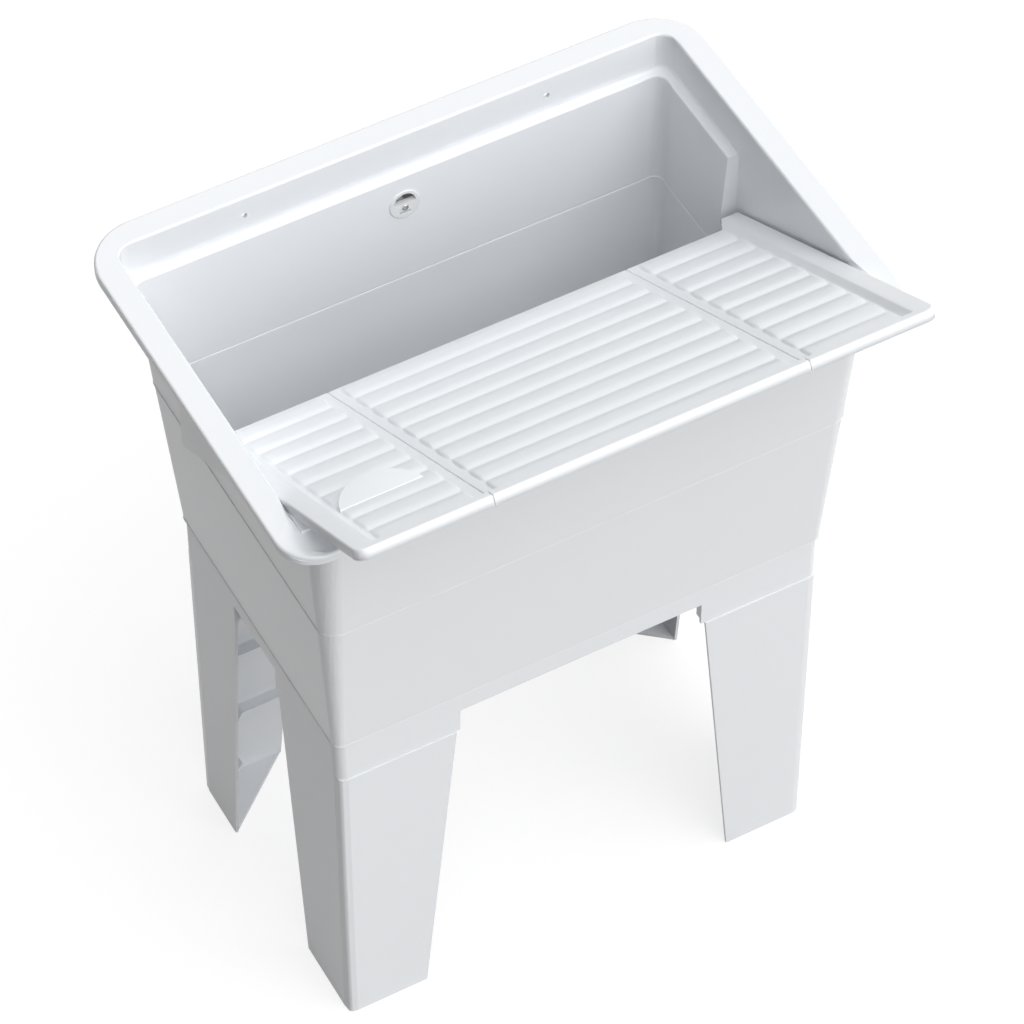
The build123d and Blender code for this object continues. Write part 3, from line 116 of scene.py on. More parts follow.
class SINK_PG_finish(bpy.types.PropertyGroup):
    """Colours and gloss of the sink's materials."""

    tub: FloatVectorProperty(
        name="Tub", description="Colour of the tub's plastic", subtype="COLOR",
        default=(0.838, 0.868, 0.905))
    leg: FloatVectorProperty(
        name="Legs", description="Colour of the legs' plastic", subtype="COLOR",
        default=(0.838, 0.868, 0.905))
    # Washboard colour: partly a whiter plastic, partly painted light, set lighter than the tub's white so
    # the panels sloping up and back look as bright as the rim.
    board: FloatVectorProperty(
        name="Washboard", description="Colour of the washboard", subtype="COLOR",
        default=(0.925, 0.95, 0.975))
    fitting: FloatVectorProperty(
        name="Fittings", description="Colour of the moulded fittings", subtype="COLOR",
        default=(0.83, 0.845, 0.86))
    pipe: FloatVectorProperty(
        name="Pipes", description="Colour of the pipes", subtype="COLOR",
        default=(0.74, 0.755, 0.77))
    rubber: FloatVectorProperty(
        name="Rubber", description="Colour of plug and seals", subtype="COLOR",
        default=(0.03, 0.031, 0.033))
    steel: FloatVectorProperty(
        name="Steel", description="Colour of strainer and screws", subtype="COLOR",
        default=(0.62, 0.62, 0.61))
    gloss: FloatProperty(
        name="Roughness", description="Roughness of the plastic", default=0.38, min=0.0, max=1.0)


class SINK_PG_stage(bpy.types.PropertyGroup):
    """Camera and light of the studio."""

    camera_place: FloatVectorProperty(
        name="Camera", description="Place of the camera", default=(-1.6048, -2.9211, 4.6297), unit="LENGTH")
    camera_pitch: FloatProperty(
        name="Pitch", description="Tilt of the camera", default=radians(39.177), unit="ROTATION")
    camera_turn: FloatProperty(
        name="Turn", description="Turn of the camera", default=radians(-28.751), unit="ROTATION")
    lens: FloatProperty(
        name="Lens", description="Focal length in millimetres", default=177.5)
    key: FloatProperty(
        name="Key lamp", description="Strength of the wide lamp high in front", default=1.88)
    fill: FloatProperty(
        name="Fill lamp", description="Strength of the low lamp in front", default=0.98)
    side: FloatProperty(
        name="Side light", description="Strength of the bright wall on the right", default=1.66)
    rear: FloatProperty(
        name="Rear lamp", description="Strength of the wide lamp high behind", default=0.3)
    floor_bounce: FloatProperty(
        name="Floor bounce", description="Share of light that the floor gives back", default=0.3)
    floor_glow: FloatProperty(
        name="Floor glow", description="White that the camera sees in the floor", default=0.76)


# ------------------------------------------------------------------ shader maths
# Sockets by number: the colour mix's inputs and output, and outputs of two input nodes.
MIX_FACTOR, MIX_LOW, MIX_HIGH, MIX_COLOUR = 0, 6, 7, 2
OBJECT_PLACE = 3
CAMERA_RAY, GLOSSY_RAY, TRANSMISSION_RAY = 0, 3, 6


class Wire:
    """A shader value that can stand in a Python sum."""

    def __init__(self, shop, socket):
        self.shop = shop
        self.socket = socket

    def _maths(self, operation, *values):
        return self.shop.node("ShaderNodeMath", {"operation": operation}, dict(enumerate(values)))

    def __add__(self, other):
        return self._maths("ADD", self, other)

    def __radd__(self, other):
        return self._maths("ADD", other, self)

    def __sub__(self, other):
        return self._maths("SUBTRACT", self, other)

    def __rsub__(self, other):
        return self._maths("SUBTRACT", other, self)

    def __mul__(self, other):
        return self._maths("MULTIPLY", self, other)

    def __rmul__(self, other):
        return self._maths("MULTIPLY", other, self)

    def __pow__(self, other):
        return self._maths("POWER", self, other)


class Shop:
    """The node tree of one material or world, with one way to add a node."""

    def __init__(self, owner):
        owner.use_nodes = True
        self.tree = owner.node_tree
        self.tree.nodes.clear()

    def node(self, kind, settings=None, sockets=None, out=0):
        """A node with its settings and socket values or links; returns its output as a Wire."""
        made = self.tree.nodes.new(kind)
        for key, value in (settings or {}).items():
            setattr(made, key, value)
        for key, value in (sockets or {}).items():
            if isinstance(value, Wire):
                self.tree.links.new(value.socket, made.inputs[key])
            else:
                made.inputs[key].default_value = value
        return Wire(self, made.outputs[out]) if len(made.outputs) else None

    def blend(self, factor, low, high):
        """Two colours mixed by a factor."""
        return self.node("ShaderNodeMix", {"data_type": "RGBA"},
                         {MIX_FACTOR: factor, MIX_LOW: low, MIX_HIGH: high}, out=MIX_COLOUR)

    def noise(self, place, scale, detail=3.0):
        """Grey noise at a scale per metre, 0 to 1."""
        return self.node("ShaderNodeTexNoise", None, {"Vector": place, "Scale": scale, "Detail": detail})

    def object_place(self):
        """Object coordinates in metres."""
        return self.node("ShaderNodeTexCoord", out=OBJECT_PLACE)

    def part_of(self, vector, axis):
        """One component of a vector."""
        return self.node("ShaderNodeSeparateXYZ", None, {0: vector}, out=axis)


# Scales are per metre, a grain is its scale and depth, and a gloss is how far the roughness swings.
PATCH_SCALE = 9.0
PATCH_SHADES = (0.988, 1.0048)
CLOUD_SCALE = 42.0
CLOUD_GLOSS = 0.10
SKIN_GLOSS = 0.06
WIDE_GRAIN = (900.0, 0.04 * MM)
FINE_GRAIN = (1300.0, 0.02 * MM)
PIPE_GRAIN = (1300.0, 0.03 * MM)
LEG_DULLER = 0.02
BOARD_GLOSSIER = 0.04
FITTING_ROUGHNESS = 0.28
PIPE_ROUGHNESS = 0.45
PLASTIC_IOR = 1.49
RUBBER_DUST_SCALE = 160.0
RUBBER_DUST_SHADE = 1.8
RUBBER_DUST_GLOSS = 0.2
RUBBER_GRAIN = (1500.0, 0.06 * MM)
RUBBER_ROUGHNESS = 0.55
RUBBER_IOR = 1.5
STEEL_STAIN_SCALE = 90.0
STEEL_STAIN_SHADES = (0.88, 1.06)
STEEL_BRUSH = (4000.0, 0.02 * MM)
STEEL_BRUSH_GLOSS = 0.14
STEEL_ROUGHNESS = 0.24


def rgba(colour, shade=1.0):
    """Colour with full alpha, times a shade."""
    return (colour[0] * shade, colour[1] * shade, colour[2] * shade, 1.0)


def moulded_plastic(name, colour, roughness, grain_scale, grain_depth):
    """White moulded plastic: faint mottling, fine skin grain and slow gloss changes."""
    material = bpy.data.materials.new(name)
    shop = Shop(material)
    place = shop.object_place()
    patches = shop.noise(place, PATCH_SCALE, 2.0)
    cloud = shop.noise(place, CLOUD_SCALE)
    skin = shop.noise(place, grain_scale)
    tint = shop.blend(patches, rgba(colour, PATCH_SHADES[0]), rgba(colour, PATCH_SHADES[1]))
    gloss = roughness + (cloud - 0.5) * CLOUD_GLOSS + (skin - 0.5) * SKIN_GLOSS
    bump = shop.node(
        "ShaderNodeBump", None, {"Strength": 1.0, "Distance": grain_depth, "Height": skin})
    surface = shop.node("ShaderNodeBsdfPrincipled", None, {
        "Base Color": tint, "Roughness": gloss, "Normal": bump, "IOR": PLASTIC_IOR,
    })
    shop.node("ShaderNodeOutputMaterial", None, {0: surface})


def soft_rubber(name, colour):
    """Black moulded rubber with dusty patches."""
    material = bpy.data.materials.new(name)
    shop = Shop(material)
    place = shop.object_place()
    dust = shop.noise(place, RUBBER_DUST_SCALE, 4.0)
    skin = shop.noise(place, RUBBER_GRAIN[0], 2.0)
    tint = shop.blend(dust, rgba(colour), rgba(colour, RUBBER_DUST_SHADE))
    bump = shop.node(
        "ShaderNodeBump", None, {"Strength": 1.0, "Distance": RUBBER_GRAIN[1], "Height": skin})
    surface = shop.node("ShaderNodeBsdfPrincipled", None, {
        "Base Color": tint, "Roughness": RUBBER_ROUGHNESS + dust * RUBBER_DUST_GLOSS,
        "Normal": bump, "IOR": RUBBER_IOR,
    })
    shop.node("ShaderNodeOutputMaterial", None, {0: surface})


def brushed_steel(name, colour, middle):
    """Stainless steel brushed in rings round an upright axis at middle."""
    material = bpy.data.materials.new(name)
    shop = Shop(material)
    place = shop.object_place()
    centred = shop.node("ShaderNodeVectorMath", {"operation": "SUBTRACT"}, {0: place, 1: middle})
    across = shop.part_of(centred, 0)
    along = shop.part_of(centred, 1)
    ring = (across * across + along * along) ** 0.5
    rings = shop.node(
        "ShaderNodeTexNoise", {"noise_dimensions": "1D"}, {"W": ring * STEEL_BRUSH[0], "Scale": 1.0})
    stain = shop.noise(place, STEEL_STAIN_SCALE)
    tint = shop.blend(stain, rgba(colour, STEEL_STAIN_SHADES[0]), rgba(colour, STEEL_STAIN_SHADES[1]))
    bump = shop.node(
        "ShaderNodeBump", None, {"Strength": 1.0, "Distance": STEEL_BRUSH[1], "Height": rings})
    surface = shop.node("ShaderNodeBsdfPrincipled", None, {
        "Base Color": tint, "Metallic": 1.0, "Roughness": STEEL_ROUGHNESS + rings * STEEL_BRUSH_GLOSS,
        "Normal": bump,
    })
    shop.node("ShaderNodeOutputMaterial", None, {0: surface})


# ------------------------------------------------------------------ mesh helpers
TOUCH = 0.01 * MM
SHARP_ANGLE = radians(38)
OLD_SHADING = ("custom_normal", "sharp_face", "sharp_edge")


def place_piece(bm, name, material, body, nodes=()):
    """Makes an object from a bmesh, gives it its finish and hangs it on its body.

    Shading that came with a copied mesh no longer fits its new points, so it goes.
    """
    mesh = bpy.data.meshes.new(name)
    bm.to_mesh(mesh)
    bm.free()
    for carried in OLD_SHADING:
        if carried in mesh.attributes:
            mesh.attributes.remove(mesh.attributes[carried])
    mesh.polygons.foreach_set("use_smooth", [True] * len(mesh.polygons))
    mesh.set_sharp_from_angle(angle=SHARP_ANGLE)
    mesh.materials.append(material)
    piece = bpy.data.objects.new(name, mesh)
    bpy.context.scene.collection.objects.link(piece)
    if nodes:
        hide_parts(*nodes)
    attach(piece, body)
    return piece


def spaced(*spans):
    """Positions along a line from spans of (start, end, steps), without doubles."""
    places = [spans[0][0]]
    for start, end, steps in spans:
        places += [start + (end - start) * step / steps for step in range(1, steps + 1)]
    return places


def sheet_grid(columns, rows):
    """A grid of faces whose lines stand at the given x and y positions."""
    bm = bmesh.new()
    bmesh.ops.create_grid(bm, x_segments=len(columns) - 1, y_segments=len(rows) - 1, size=1.0)
    last_x, last_y = len(columns) - 1, len(rows) - 1
    for vert in bm.verts:
        column = round((vert.co.x + 1.0) / 2.0 * last_x)
        row = round((vert.co.y + 1.0) / 2.0 * last_y)
        vert.co = Vector((columns[column], rows[row], 0.0))
    return bm


def edge_drop(distance, radius):
    """How far a rounded edge has fallen at a distance from it."""
    if distance >= radius:
        return 0.0
    return radius - sqrt(max(radius * radius - (radius - distance) ** 2, 0.0))


def ramp(t, fillet):
    """A straight slope from 0 to 1 with rounded foot and top."""
    t = min(max(t, 0.0), 1.0)
    if t < fillet:
        return t * t / (2.0 * fillet * (1.0 - fillet))
    if t > 1.0 - fillet:
        return 1.0 - (1.0 - t) ** 2 / (2.0 * fillet * (1.0 - fillet))
    return (t - fillet / 2.0) / (1.0 - fillet)


# ------------------------------------------------------------------ tub and legs
# Outlines are the half width and the back of a rear corner before it is rounded.
RIM_OUTLINE = (350.0 * MM, 280.4 * MM)
STRIP_OUTLINE = (320.0 * MM, 250.9 * MM)
# The rim's points start at this height, with corners of this radius, redrawn on these cuts.
RIM_BAND = 864.0 * MM
RIM_OLD_RADIUS = 42.0 * MM
RIM_CUTS = 4
# A point moves fully with its corner up to the first distance, and not at all past the second.
RIM_KEEP = (7.0 * MM, 30.0 * MM)
BASIN_KEEP = (9.0 * MM, 22.0 * MM)
KEEP_FILLET = 0.3
# Between these heights the outline goes over from the basin's wall to the strip.
LEDGE_BLEND = (822.0 * MM, 830.0 * MM)
# Half width, front, back and corner radius of the outer wall at two heights.
WALL_LOW_Z = 488.0 * MM
WALL_HIGH_Z = 875.0 * MM
LOW_CORNER = 11.0 * MM
WALL_LOW = (289.8 * MM, -149.6 * MM, 207.8 * MM, LOW_CORNER)
WALL_HIGH = (313.7 * MM, -177.9 * MM, 247.4 * MM, 28.4 * MM)
# Heights of the mould line round the wall and of the step above the skirt.
WALL_LINE = 692.0 * MM
SKIRT_LINE = 486.0 * MM
LINE_HALF = 1.3 * MM
LINE_ROW = 0.05 * MM
# How far inside the wall's outline a point still belongs to the wall, its face or its sheet.
WALL_REACH = 3.0 * MM
OUTER_FACE = 0.3 * MM
OUTER_SHEET = 1.0 * MM
# The leg steps outwards at this height, under the skirt.
LEGS = ("leg_front_left", "leg_front_right", "leg_back_left", "leg_back_right")
LEG_SHEET = 5.0 * MM
LEG_SHOULDER = 426.8 * MM
SHOULDER_DROP = 0.3 * MM
FACE_WEIGHT = 100


def wall_at(z):
    """Half width, front, back and corner radius of the outer wall at a height."""
    t = (z - WALL_LOW_Z) / (WALL_HIGH_Z - WALL_LOW_Z)
    return [low + t * (high - low) for low, high in zip(WALL_LOW, WALL_HIGH)]


def corner_depth(spread, radius):
    """Distance along the diagonal from a sharp corner to its rounding."""
    if abs(spread) >= radius:
        return abs(spread) / 2.0
    return radius - sqrt((radius * radius - spread * spread / 2.0) / 2.0)


def draw_corner(co, outline, old, new, keep):
    """Moves a point by a rear corner's outline along its diagonal, from the old radius to the new."""
    a, b = outline[0] - abs(co.x), outline[1] - co.y
    if abs(a - b) >= max(old, new):
        return
    depth = (a + b) / 2.0 - corner_depth(a - b, old)
    share = 1.0 - ramp((abs(depth) - keep[0]) / (keep[1] - keep[0]), KEEP_FILLET)
    pull = share * (corner_depth(a - b, new) - corner_depth(a - b, old))
    co.x -= pull if co.x > 0 else -pull
    co.y -= pull


def cut(bm, place, normal):
    """Adds a line of vertices where a plane meets the mesh."""
    bmesh.ops.bisect_plane(
        bm, geom=bm.verts[:] + bm.edges[:] + bm.faces[:], dist=TOUCH,
        plane_co=place, plane_no=normal)


def mould_line(bm, z, lip):
    """Draws the wall's edge at a height outwards into a thin sloping lip."""
    cut(bm, (0.0, 0.0, z + LINE_HALF), (0.0, 0.0, 1.0))
    cut(bm, (0.0, 0.0, z - LINE_HALF), (0.0, 0.0, 1.0))
    half, front, back, radius = wall_at(max(z, WALL_LOW_Z))
    middle, reach = (front + back) / 2.0, (back - front) / 2.0
    for vert in bm.verts:
        if abs(vert.co.z - z) > LINE_ROW:
            continue
        a = abs(vert.co.x) - half + radius
        b = abs(vert.co.y - middle) - reach + radius
        inset = radius - hypot(max(a, 0.0), max(b, 0.0)) if max(a, b) > 0.0 else radius - max(a, b)
        if abs(inset) > WALL_REACH or (z == WALL_LINE and inset > OUTER_FACE):
            continue
        away = Vector((max(a, 0.0) if vert.co.x > 0 else -max(a, 0.0),
                       max(b, 0.0) if vert.co.y > middle else -max(b, 0.0), 0.0))
        if away.length > 0.0:
            vert.co += away.normalized() * (lip if inset < OUTER_SHEET else 2.0 * lip)


def merged_copy(node):
    """The mesh of a carried-over node with its loose triangles joined."""
    bm = bmesh.new()
    bm.from_mesh(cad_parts[node].data)
    bmesh.ops.remove_doubles(bm, verts=bm.verts, dist=TOUCH)
    return bm


def even_shading(piece):
    """Lets the broad faces set the shading of the roundings between them."""
    shade = piece.modifiers.new("shading", "WEIGHTED_NORMAL")
    shade.keep_sharp = True
    shade.weight = FACE_WEIGHT


# ------------------------------------------------------------------ washboard
# Places are from the washboard's middle across and from its rear edge along the slope.
RIB_FIRST = 3.9 * MM
RIB_LAND = 2.4 * MM
RIB_CROWN = 3.0
RIB_END_RUN = 4.5 * MM
RIB_SIDE = (183.5 * MM, 287.5 * MM)
RIB_CENTRE = 163.0 * MM
# The raised lip climbs from its foot to its top, and its side lips run on past the rear edge.
LIP_FOOT = 288.0 * MM
LIP_TOP = 297.0 * MM
FRONT_LIP_FOOT = 396.3 * MM
FRONT_LIP_TOP = 397.5 * MM
LIP_FILLET = 0.15
LIP_TAIL = 16.0 * MM
# Radii of the outer edge, of the edges at seams and rear, and of the front corners in plan.
LIP_EDGE = 2.4 * MM
SEAM_EDGE = 1.0 * MM
CORNER = 14.0 * MM
# Each seam opens in a small notch at both ends.
NOTCH_HALF = 0.3 * MM
NOTCH_DEPTH = 1.5 * MM
NOTCH_REACH = 6.0 * MM
# The soap rest is a segment of a disc that rises from its straight front edge to its apex.
PAD_X = -242.5 * MM
PAD_HALF = 44.5 * MM
PAD_FRONT = 297.0 * MM
PAD_APEX = 260.0 * MM
PAD_FRONT_HEIGHT = 2.9 * MM
PAD_APEX_HEIGHT = 13.0 * MM
PAD_EDGE = 0.9 * MM
PAD_SEGMENTS = 96


def board_matrix(board):
    """From the washboard's plane (x, -slope, height) to the frame."""
    c, s = cos(board.tilt), sin(board.tilt)
    return Matrix((
        (1.0, 0.0, 0.0, 0.0),
        (0.0, c, s, board.rear_y),
        (0.0, -s, c, board.rear_z),
        (0.0, 0.0, 0.0, 1.0),
    ))


def rib_lift(board, x, slope, low_x, high_x):
    """Height of the rib row over the sheet at a point of the washboard."""
    if not low_x < x < high_x:
        return 0.0
    half = (board.rib_pitch - RIB_LAND) / 2.0
    index = int((slope - RIB_FIRST) / board.rib_pitch)
    if slope < RIB_FIRST or index >= board.rib_count:
        return 0.0
    across = (slope - RIB_FIRST - (index + 0.5) * board.rib_pitch) / half
    past = max(low_x + RIB_END_RUN - x, x - high_x + RIB_END_RUN, 0.0) / RIB_END_RUN
    return board.rib_height * max(1.0 - abs(across) ** RIB_CROWN - past * past, 0.0)


def lip_lift(board, x, slope):
    """Height of the raised outer lip over the sheet."""
    side = (abs(x) - LIP_FOOT) / (LIP_TOP - LIP_FOOT)
    front = (slope - FRONT_LIP_FOOT) / (FRONT_LIP_TOP - FRONT_LIP_FOOT)
    return board.lip * max(ramp(side, LIP_FILLET), ramp(front, LIP_FILLET))


def rib_rows(board):
    """Lines across the slope: tail, ribs with dense valleys, front lip and rounded front edge."""
    spans = [(-LIP_TAIL, -LIP_TAIL + LIP_EDGE, 4), (-LIP_TAIL + LIP_EDGE, 0.0, 4),
             (0.0, SEAM_EDGE, 3), (SEAM_EDGE, RIB_FIRST + RIB_LAND / 2, 2)]
    for index in range(board.rib_count):
        start = RIB_FIRST + index * board.rib_pitch + RIB_LAND / 2
        end = min(start + board.rib_pitch - RIB_LAND, FRONT_LIP_FOOT)
        spans.append((start, end, 20))
        if end < FRONT_LIP_FOOT:
            spans.append((end, end + RIB_LAND, 2))
    edge = board.length - LIP_EDGE
    spans += [(FRONT_LIP_FOOT, FRONT_LIP_TOP, 4), (FRONT_LIP_TOP, edge - CORNER / 2, 1),
              (edge - CORNER / 2, edge, 4), (edge, board.length, 5)]
    return spaced(*spans)


def side_columns(board, outward):
    """Lines down the slope of a side panel, from its seam outwards."""
    seam = board.seam + board.seam_gap / 2
    inner, outer = RIB_SIDE
    edge = board.half_width - LIP_EDGE
    places = spaced(
        (seam, seam + SEAM_EDGE, 3), (seam + SEAM_EDGE, inner, 4), (inner, inner + RIB_END_RUN, 8),
        (inner + RIB_END_RUN, outer - RIB_END_RUN, 10), (outer - RIB_END_RUN, outer, 8),
        (outer, LIP_FOOT, 1), (LIP_FOOT, LIP_TOP, 12), (LIP_TOP, edge - CORNER / 2, 3),
        (edge - CORNER / 2, edge, 4), (edge, board.half_width, 5))
    return places if outward > 0 else [-x for x in reversed(places)]


def centre_columns(board):
    """Lines down the slope of the centre panel."""
    seam = board.seam - board.seam_gap / 2
    places = spaced(
        (0.0, RIB_CENTRE - RIB_END_RUN, 12), (RIB_CENTRE - RIB_END_RUN, RIB_CENTRE, 8),
        (RIB_CENTRE, seam - SEAM_EDGE, 4), (seam - SEAM_EDGE, seam, 3))
    return [-x for x in reversed(places[1:])] + places


def round_corner(x, slope, board):
    """Draws the points of a front corner's square onto a quarter circle."""
    a = (abs(x) - board.half_width + CORNER) / CORNER
    b = (slope - board.length + CORNER) / CORNER
    if a <= 0.0 or b <= 0.0:
        return x, slope
    pull = max(a, b) / hypot(a, b)
    x_new = board.half_width - CORNER + a * pull * CORNER
    return (x_new if x > 0 else -x_new), board.length - CORNER + b * pull * CORNER


def panel_mesh(board, columns, ribs, seams):
    """Moulded sheet of one panel with its ribs, lips, notched seams and skirt.

    The side lip's rear end is cut on the slant, from its foot at the rear edge to its top
    at the end of its tail.
    """
    bm = sheet_grid(columns, [-slope for slope in reversed(rib_rows(board))])
    between_tails = [
        face for face in bm.faces
        if face.calc_center_median().y > 0.0 and abs(face.calc_center_median().x) < LIP_FOOT
    ]
    bmesh.ops.delete(bm, geom=between_tails, context="FACES")
    low_x, high_x = columns[0], columns[-1]
    for vert in bm.verts:
        x, slope = vert.co.x, -vert.co.y
        height = max(rib_lift(board, x, slope, *ribs), lip_lift(board, x, slope))
        rear = slope + LIP_TAIL if abs(x) > LIP_FOOT + TOUCH else slope
        seam_distance = min(abs(x - seam) for seam in seams)
        outer = min(board.half_width - abs(x), board.length - slope)
        height -= edge_drop(outer, LIP_EDGE) + edge_drop(rear, SEAM_EDGE)
        height -= edge_drop(seam_distance, SEAM_EDGE)
        near_end = min(slope, board.length - slope)
        if near_end < NOTCH_DEPTH and seam_distance < NOTCH_REACH:
            open_by = NOTCH_HALF * (1.0 - max(near_end, 0.0) / NOTCH_DEPTH)
            inward = -1.0 if abs(x - high_x) < abs(x - low_x) else 1.0
            x += inward * open_by * (1.0 - seam_distance / NOTCH_REACH)
        if slope < 0.0 and abs(x) < LIP_TOP:
            slope *= (abs(x) - LIP_FOOT) / (LIP_TOP - LIP_FOOT)
        x, slope = round_corner(x, slope, board)
        vert.co = Vector((x, -slope, height))
    bmesh.ops.remove_doubles(bm, verts=bm.verts, dist=TOUCH)
    border = [edge for edge in bm.edges if edge.is_boundary]
    wall = bmesh.ops.extrude_edge_only(bm, edges=border)
    for item in wall["geom"]:
        if isinstance(item, bmesh.types.BMVert):
            item.co.z = -board.skirt
    bmesh.ops.recalc_face_normals(bm, faces=bm.faces)
    if sum(face.normal.z * face.calc_area() for face in bm.faces) < 0:
        bmesh.ops.reverse_faces(bm, faces=bm.faces)
    bmesh.ops.transform(bm, matrix=board_matrix(board), verts=bm.verts)
    return bm


def finish_panel(bm, board, name, node):
    """Thickens a panel's sheet and gives it its plastic."""
    piece = place_piece(bm, name, bpy.data.materials["washboard_plastic"], "washboard",
                        (node,))
    wall = piece.modifiers.new("sheet", "SOLIDIFY")
    wall.thickness = board.sheet
    wall.offset = -1.0


class SINK_OT_finishes(bpy.types.Operator):
    """Make the sink's materials."""

    bl_idname = "sink.finishes"
    bl_label = "Make finishes"

    def execute(self, context):
        finish = context.scene.sink_finish
        moulded_plastic("tub_plastic", finish.tub, finish.gloss, *WIDE_GRAIN)
        moulded_plastic("leg_plastic", finish.leg, finish.gloss + LEG_DULLER, *WIDE_GRAIN)
        # The washboard's plastic is lighter than the tub's: partly its own whiter tone, partly painted light
        # on its sloping panels.
        moulded_plastic("washboard_plastic", finish.board, finish.gloss - BOARD_GLOSSIER, *WIDE_GRAIN)
        moulded_plastic("fitting_plastic", finish.fitting, FITTING_ROUGHNESS, *FINE_GRAIN)
        moulded_plastic("pipe_plastic", finish.pipe, PIPE_ROUGHNESS, *PIPE_GRAIN)
        soft_rubber("seal_rubber", finish.rubber)
        soft_rubber("plug_rubber", finish.rubber)
        low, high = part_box("waste_strainer")
        brushed_steel("strainer_steel", finish.steel, tuple((low + high) / 2))
        low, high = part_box("overflow_screw")
        brushed_steel("screw_steel", finish.steel, tuple((low + high) / 2))
        return {"FINISHED"}


class SINK_OT_tub(bpy.types.Operator):
    """Round the tub's rear corners and raise its mould lines."""

    bl_idname = "sink.tub"
    bl_label = "Finish tub"

    def execute(self, context):
        tub = context.scene.sink_tub
        bm = merged_copy("tub")
        for z in (WALL_LINE, SKIRT_LINE):
            mould_line(bm, z, tub.mould_lip)
        for step in range(RIM_CUTS):
            inset = tub.rim_radius - step * (tub.rim_radius - RIM_OLD_RADIUS) / RIM_CUTS
            for side in (-1.0, 1.0):
                cut(bm, (side * (RIM_OUTLINE[0] - inset), 0.0, 0.0), (1.0, 0.0, 0.0))
            cut(bm, (0.0, RIM_OUTLINE[1] - inset, 0.0), (0.0, 1.0, 0.0))
        for vert in bm.verts:
            self.round_corners(vert.co, tub)
        piece = place_piece(bm, "tub_shell", bpy.data.materials["tub_plastic"], "base",
                            ("tub",))
        even_shading(piece)
        return {"FINISHED"}

    def round_corners(self, co, tub):
        """Opens the rim's rear corners and tightens the basin's."""
        if co.y < 0.0:
            return
        half, front, back, old = wall_at(co.z)
        share = min(max((co.z - LEDGE_BLEND[0]) / (LEDGE_BLEND[1] - LEDGE_BLEND[0]), 0.0), 1.0)
        outline = (half + share * (STRIP_OUTLINE[0] - half), back + share * (STRIP_OUTLINE[1] - back))
        rise = min(max((co.z - WALL_LOW_Z) / (LEDGE_BLEND[0] - WALL_LOW_Z), 0.0), 1.0)
        new = LOW_CORNER + rise * (tub.basin_radius - LOW_CORNER)
        if co.z > WALL_LOW_Z:
            draw_corner(co, outline, old, min(new, old), BASIN_KEEP)
        if co.z > RIM_BAND:
            draw_corner(co, RIM_OUTLINE, RIM_OLD_RADIUS, tub.rim_radius, RIM_KEEP)


class SINK_OT_legs(bpy.types.Operator):
    """Give each leg its shoulder under the skirt."""

    bl_idname = "sink.legs"
    bl_label = "Finish legs"

    def execute(self, context):
        tub = context.scene.sink_tub
        for node in LEGS:
            bm = merged_copy(node)
            low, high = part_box(node)
            cut(bm, (0.0, 0.0, LEG_SHOULDER), (0.0, 0.0, 1.0))
            cut(bm, (0.0, 0.0, LEG_SHOULDER - SHOULDER_DROP), (0.0, 0.0, 1.0))
            for vert in bm.verts:
                if vert.co.z > LEG_SHOULDER - SHOULDER_DROP / 2:
                    continue
                if vert.co.x < low.x + LEG_SHEET and low.x < 0.0:
                    vert.co.x -= tub.leg_side
                if vert.co.x > high.x - LEG_SHEET and high.x > 0.0:
                    vert.co.x += tub.leg_side
                if vert.co.y < low.y + LEG_SHEET and "front" in node:
                    vert.co.y -= tub.leg_front
                if vert.co.y > high.y - LEG_SHEET and "back" in node:
                    vert.co.y += tub.leg_front
            piece = place_piece(bm, node + "_shell", bpy.data.materials["leg_plastic"], "base",
                                (node,))
            even_shading(piece)
        return {"FINISHED"}


class SINK_OT_washboard(bpy.types.Operator):
    """Mould the three washboard panels."""

    bl_idname = "sink.washboard"
    bl_label = "Mould washboard"

    def execute(self, context):
        board = context.scene.sink_washboard
        inner = board.seam - board.seam_gap / 2
        outer = board.seam + board.seam_gap / 2
        left = panel_mesh(board, side_columns(board, -1), (-RIB_SIDE[1], -RIB_SIDE[0]), (-outer,))
        finish_panel(left, board, "washboard_left", "board_left_panel")
        right = panel_mesh(board, side_columns(board, 1), RIB_SIDE, (outer,))
        finish_panel(right, board, "washboard_right", "board_right_panel")
        centre = panel_mesh(board, centre_columns(board), (-RIB_CENTRE, RIB_CENTRE), (-inner, inner))
        finish_panel(centre, board, "washboard_centre", "board_centre_panel")
        return {"FINISHED"}


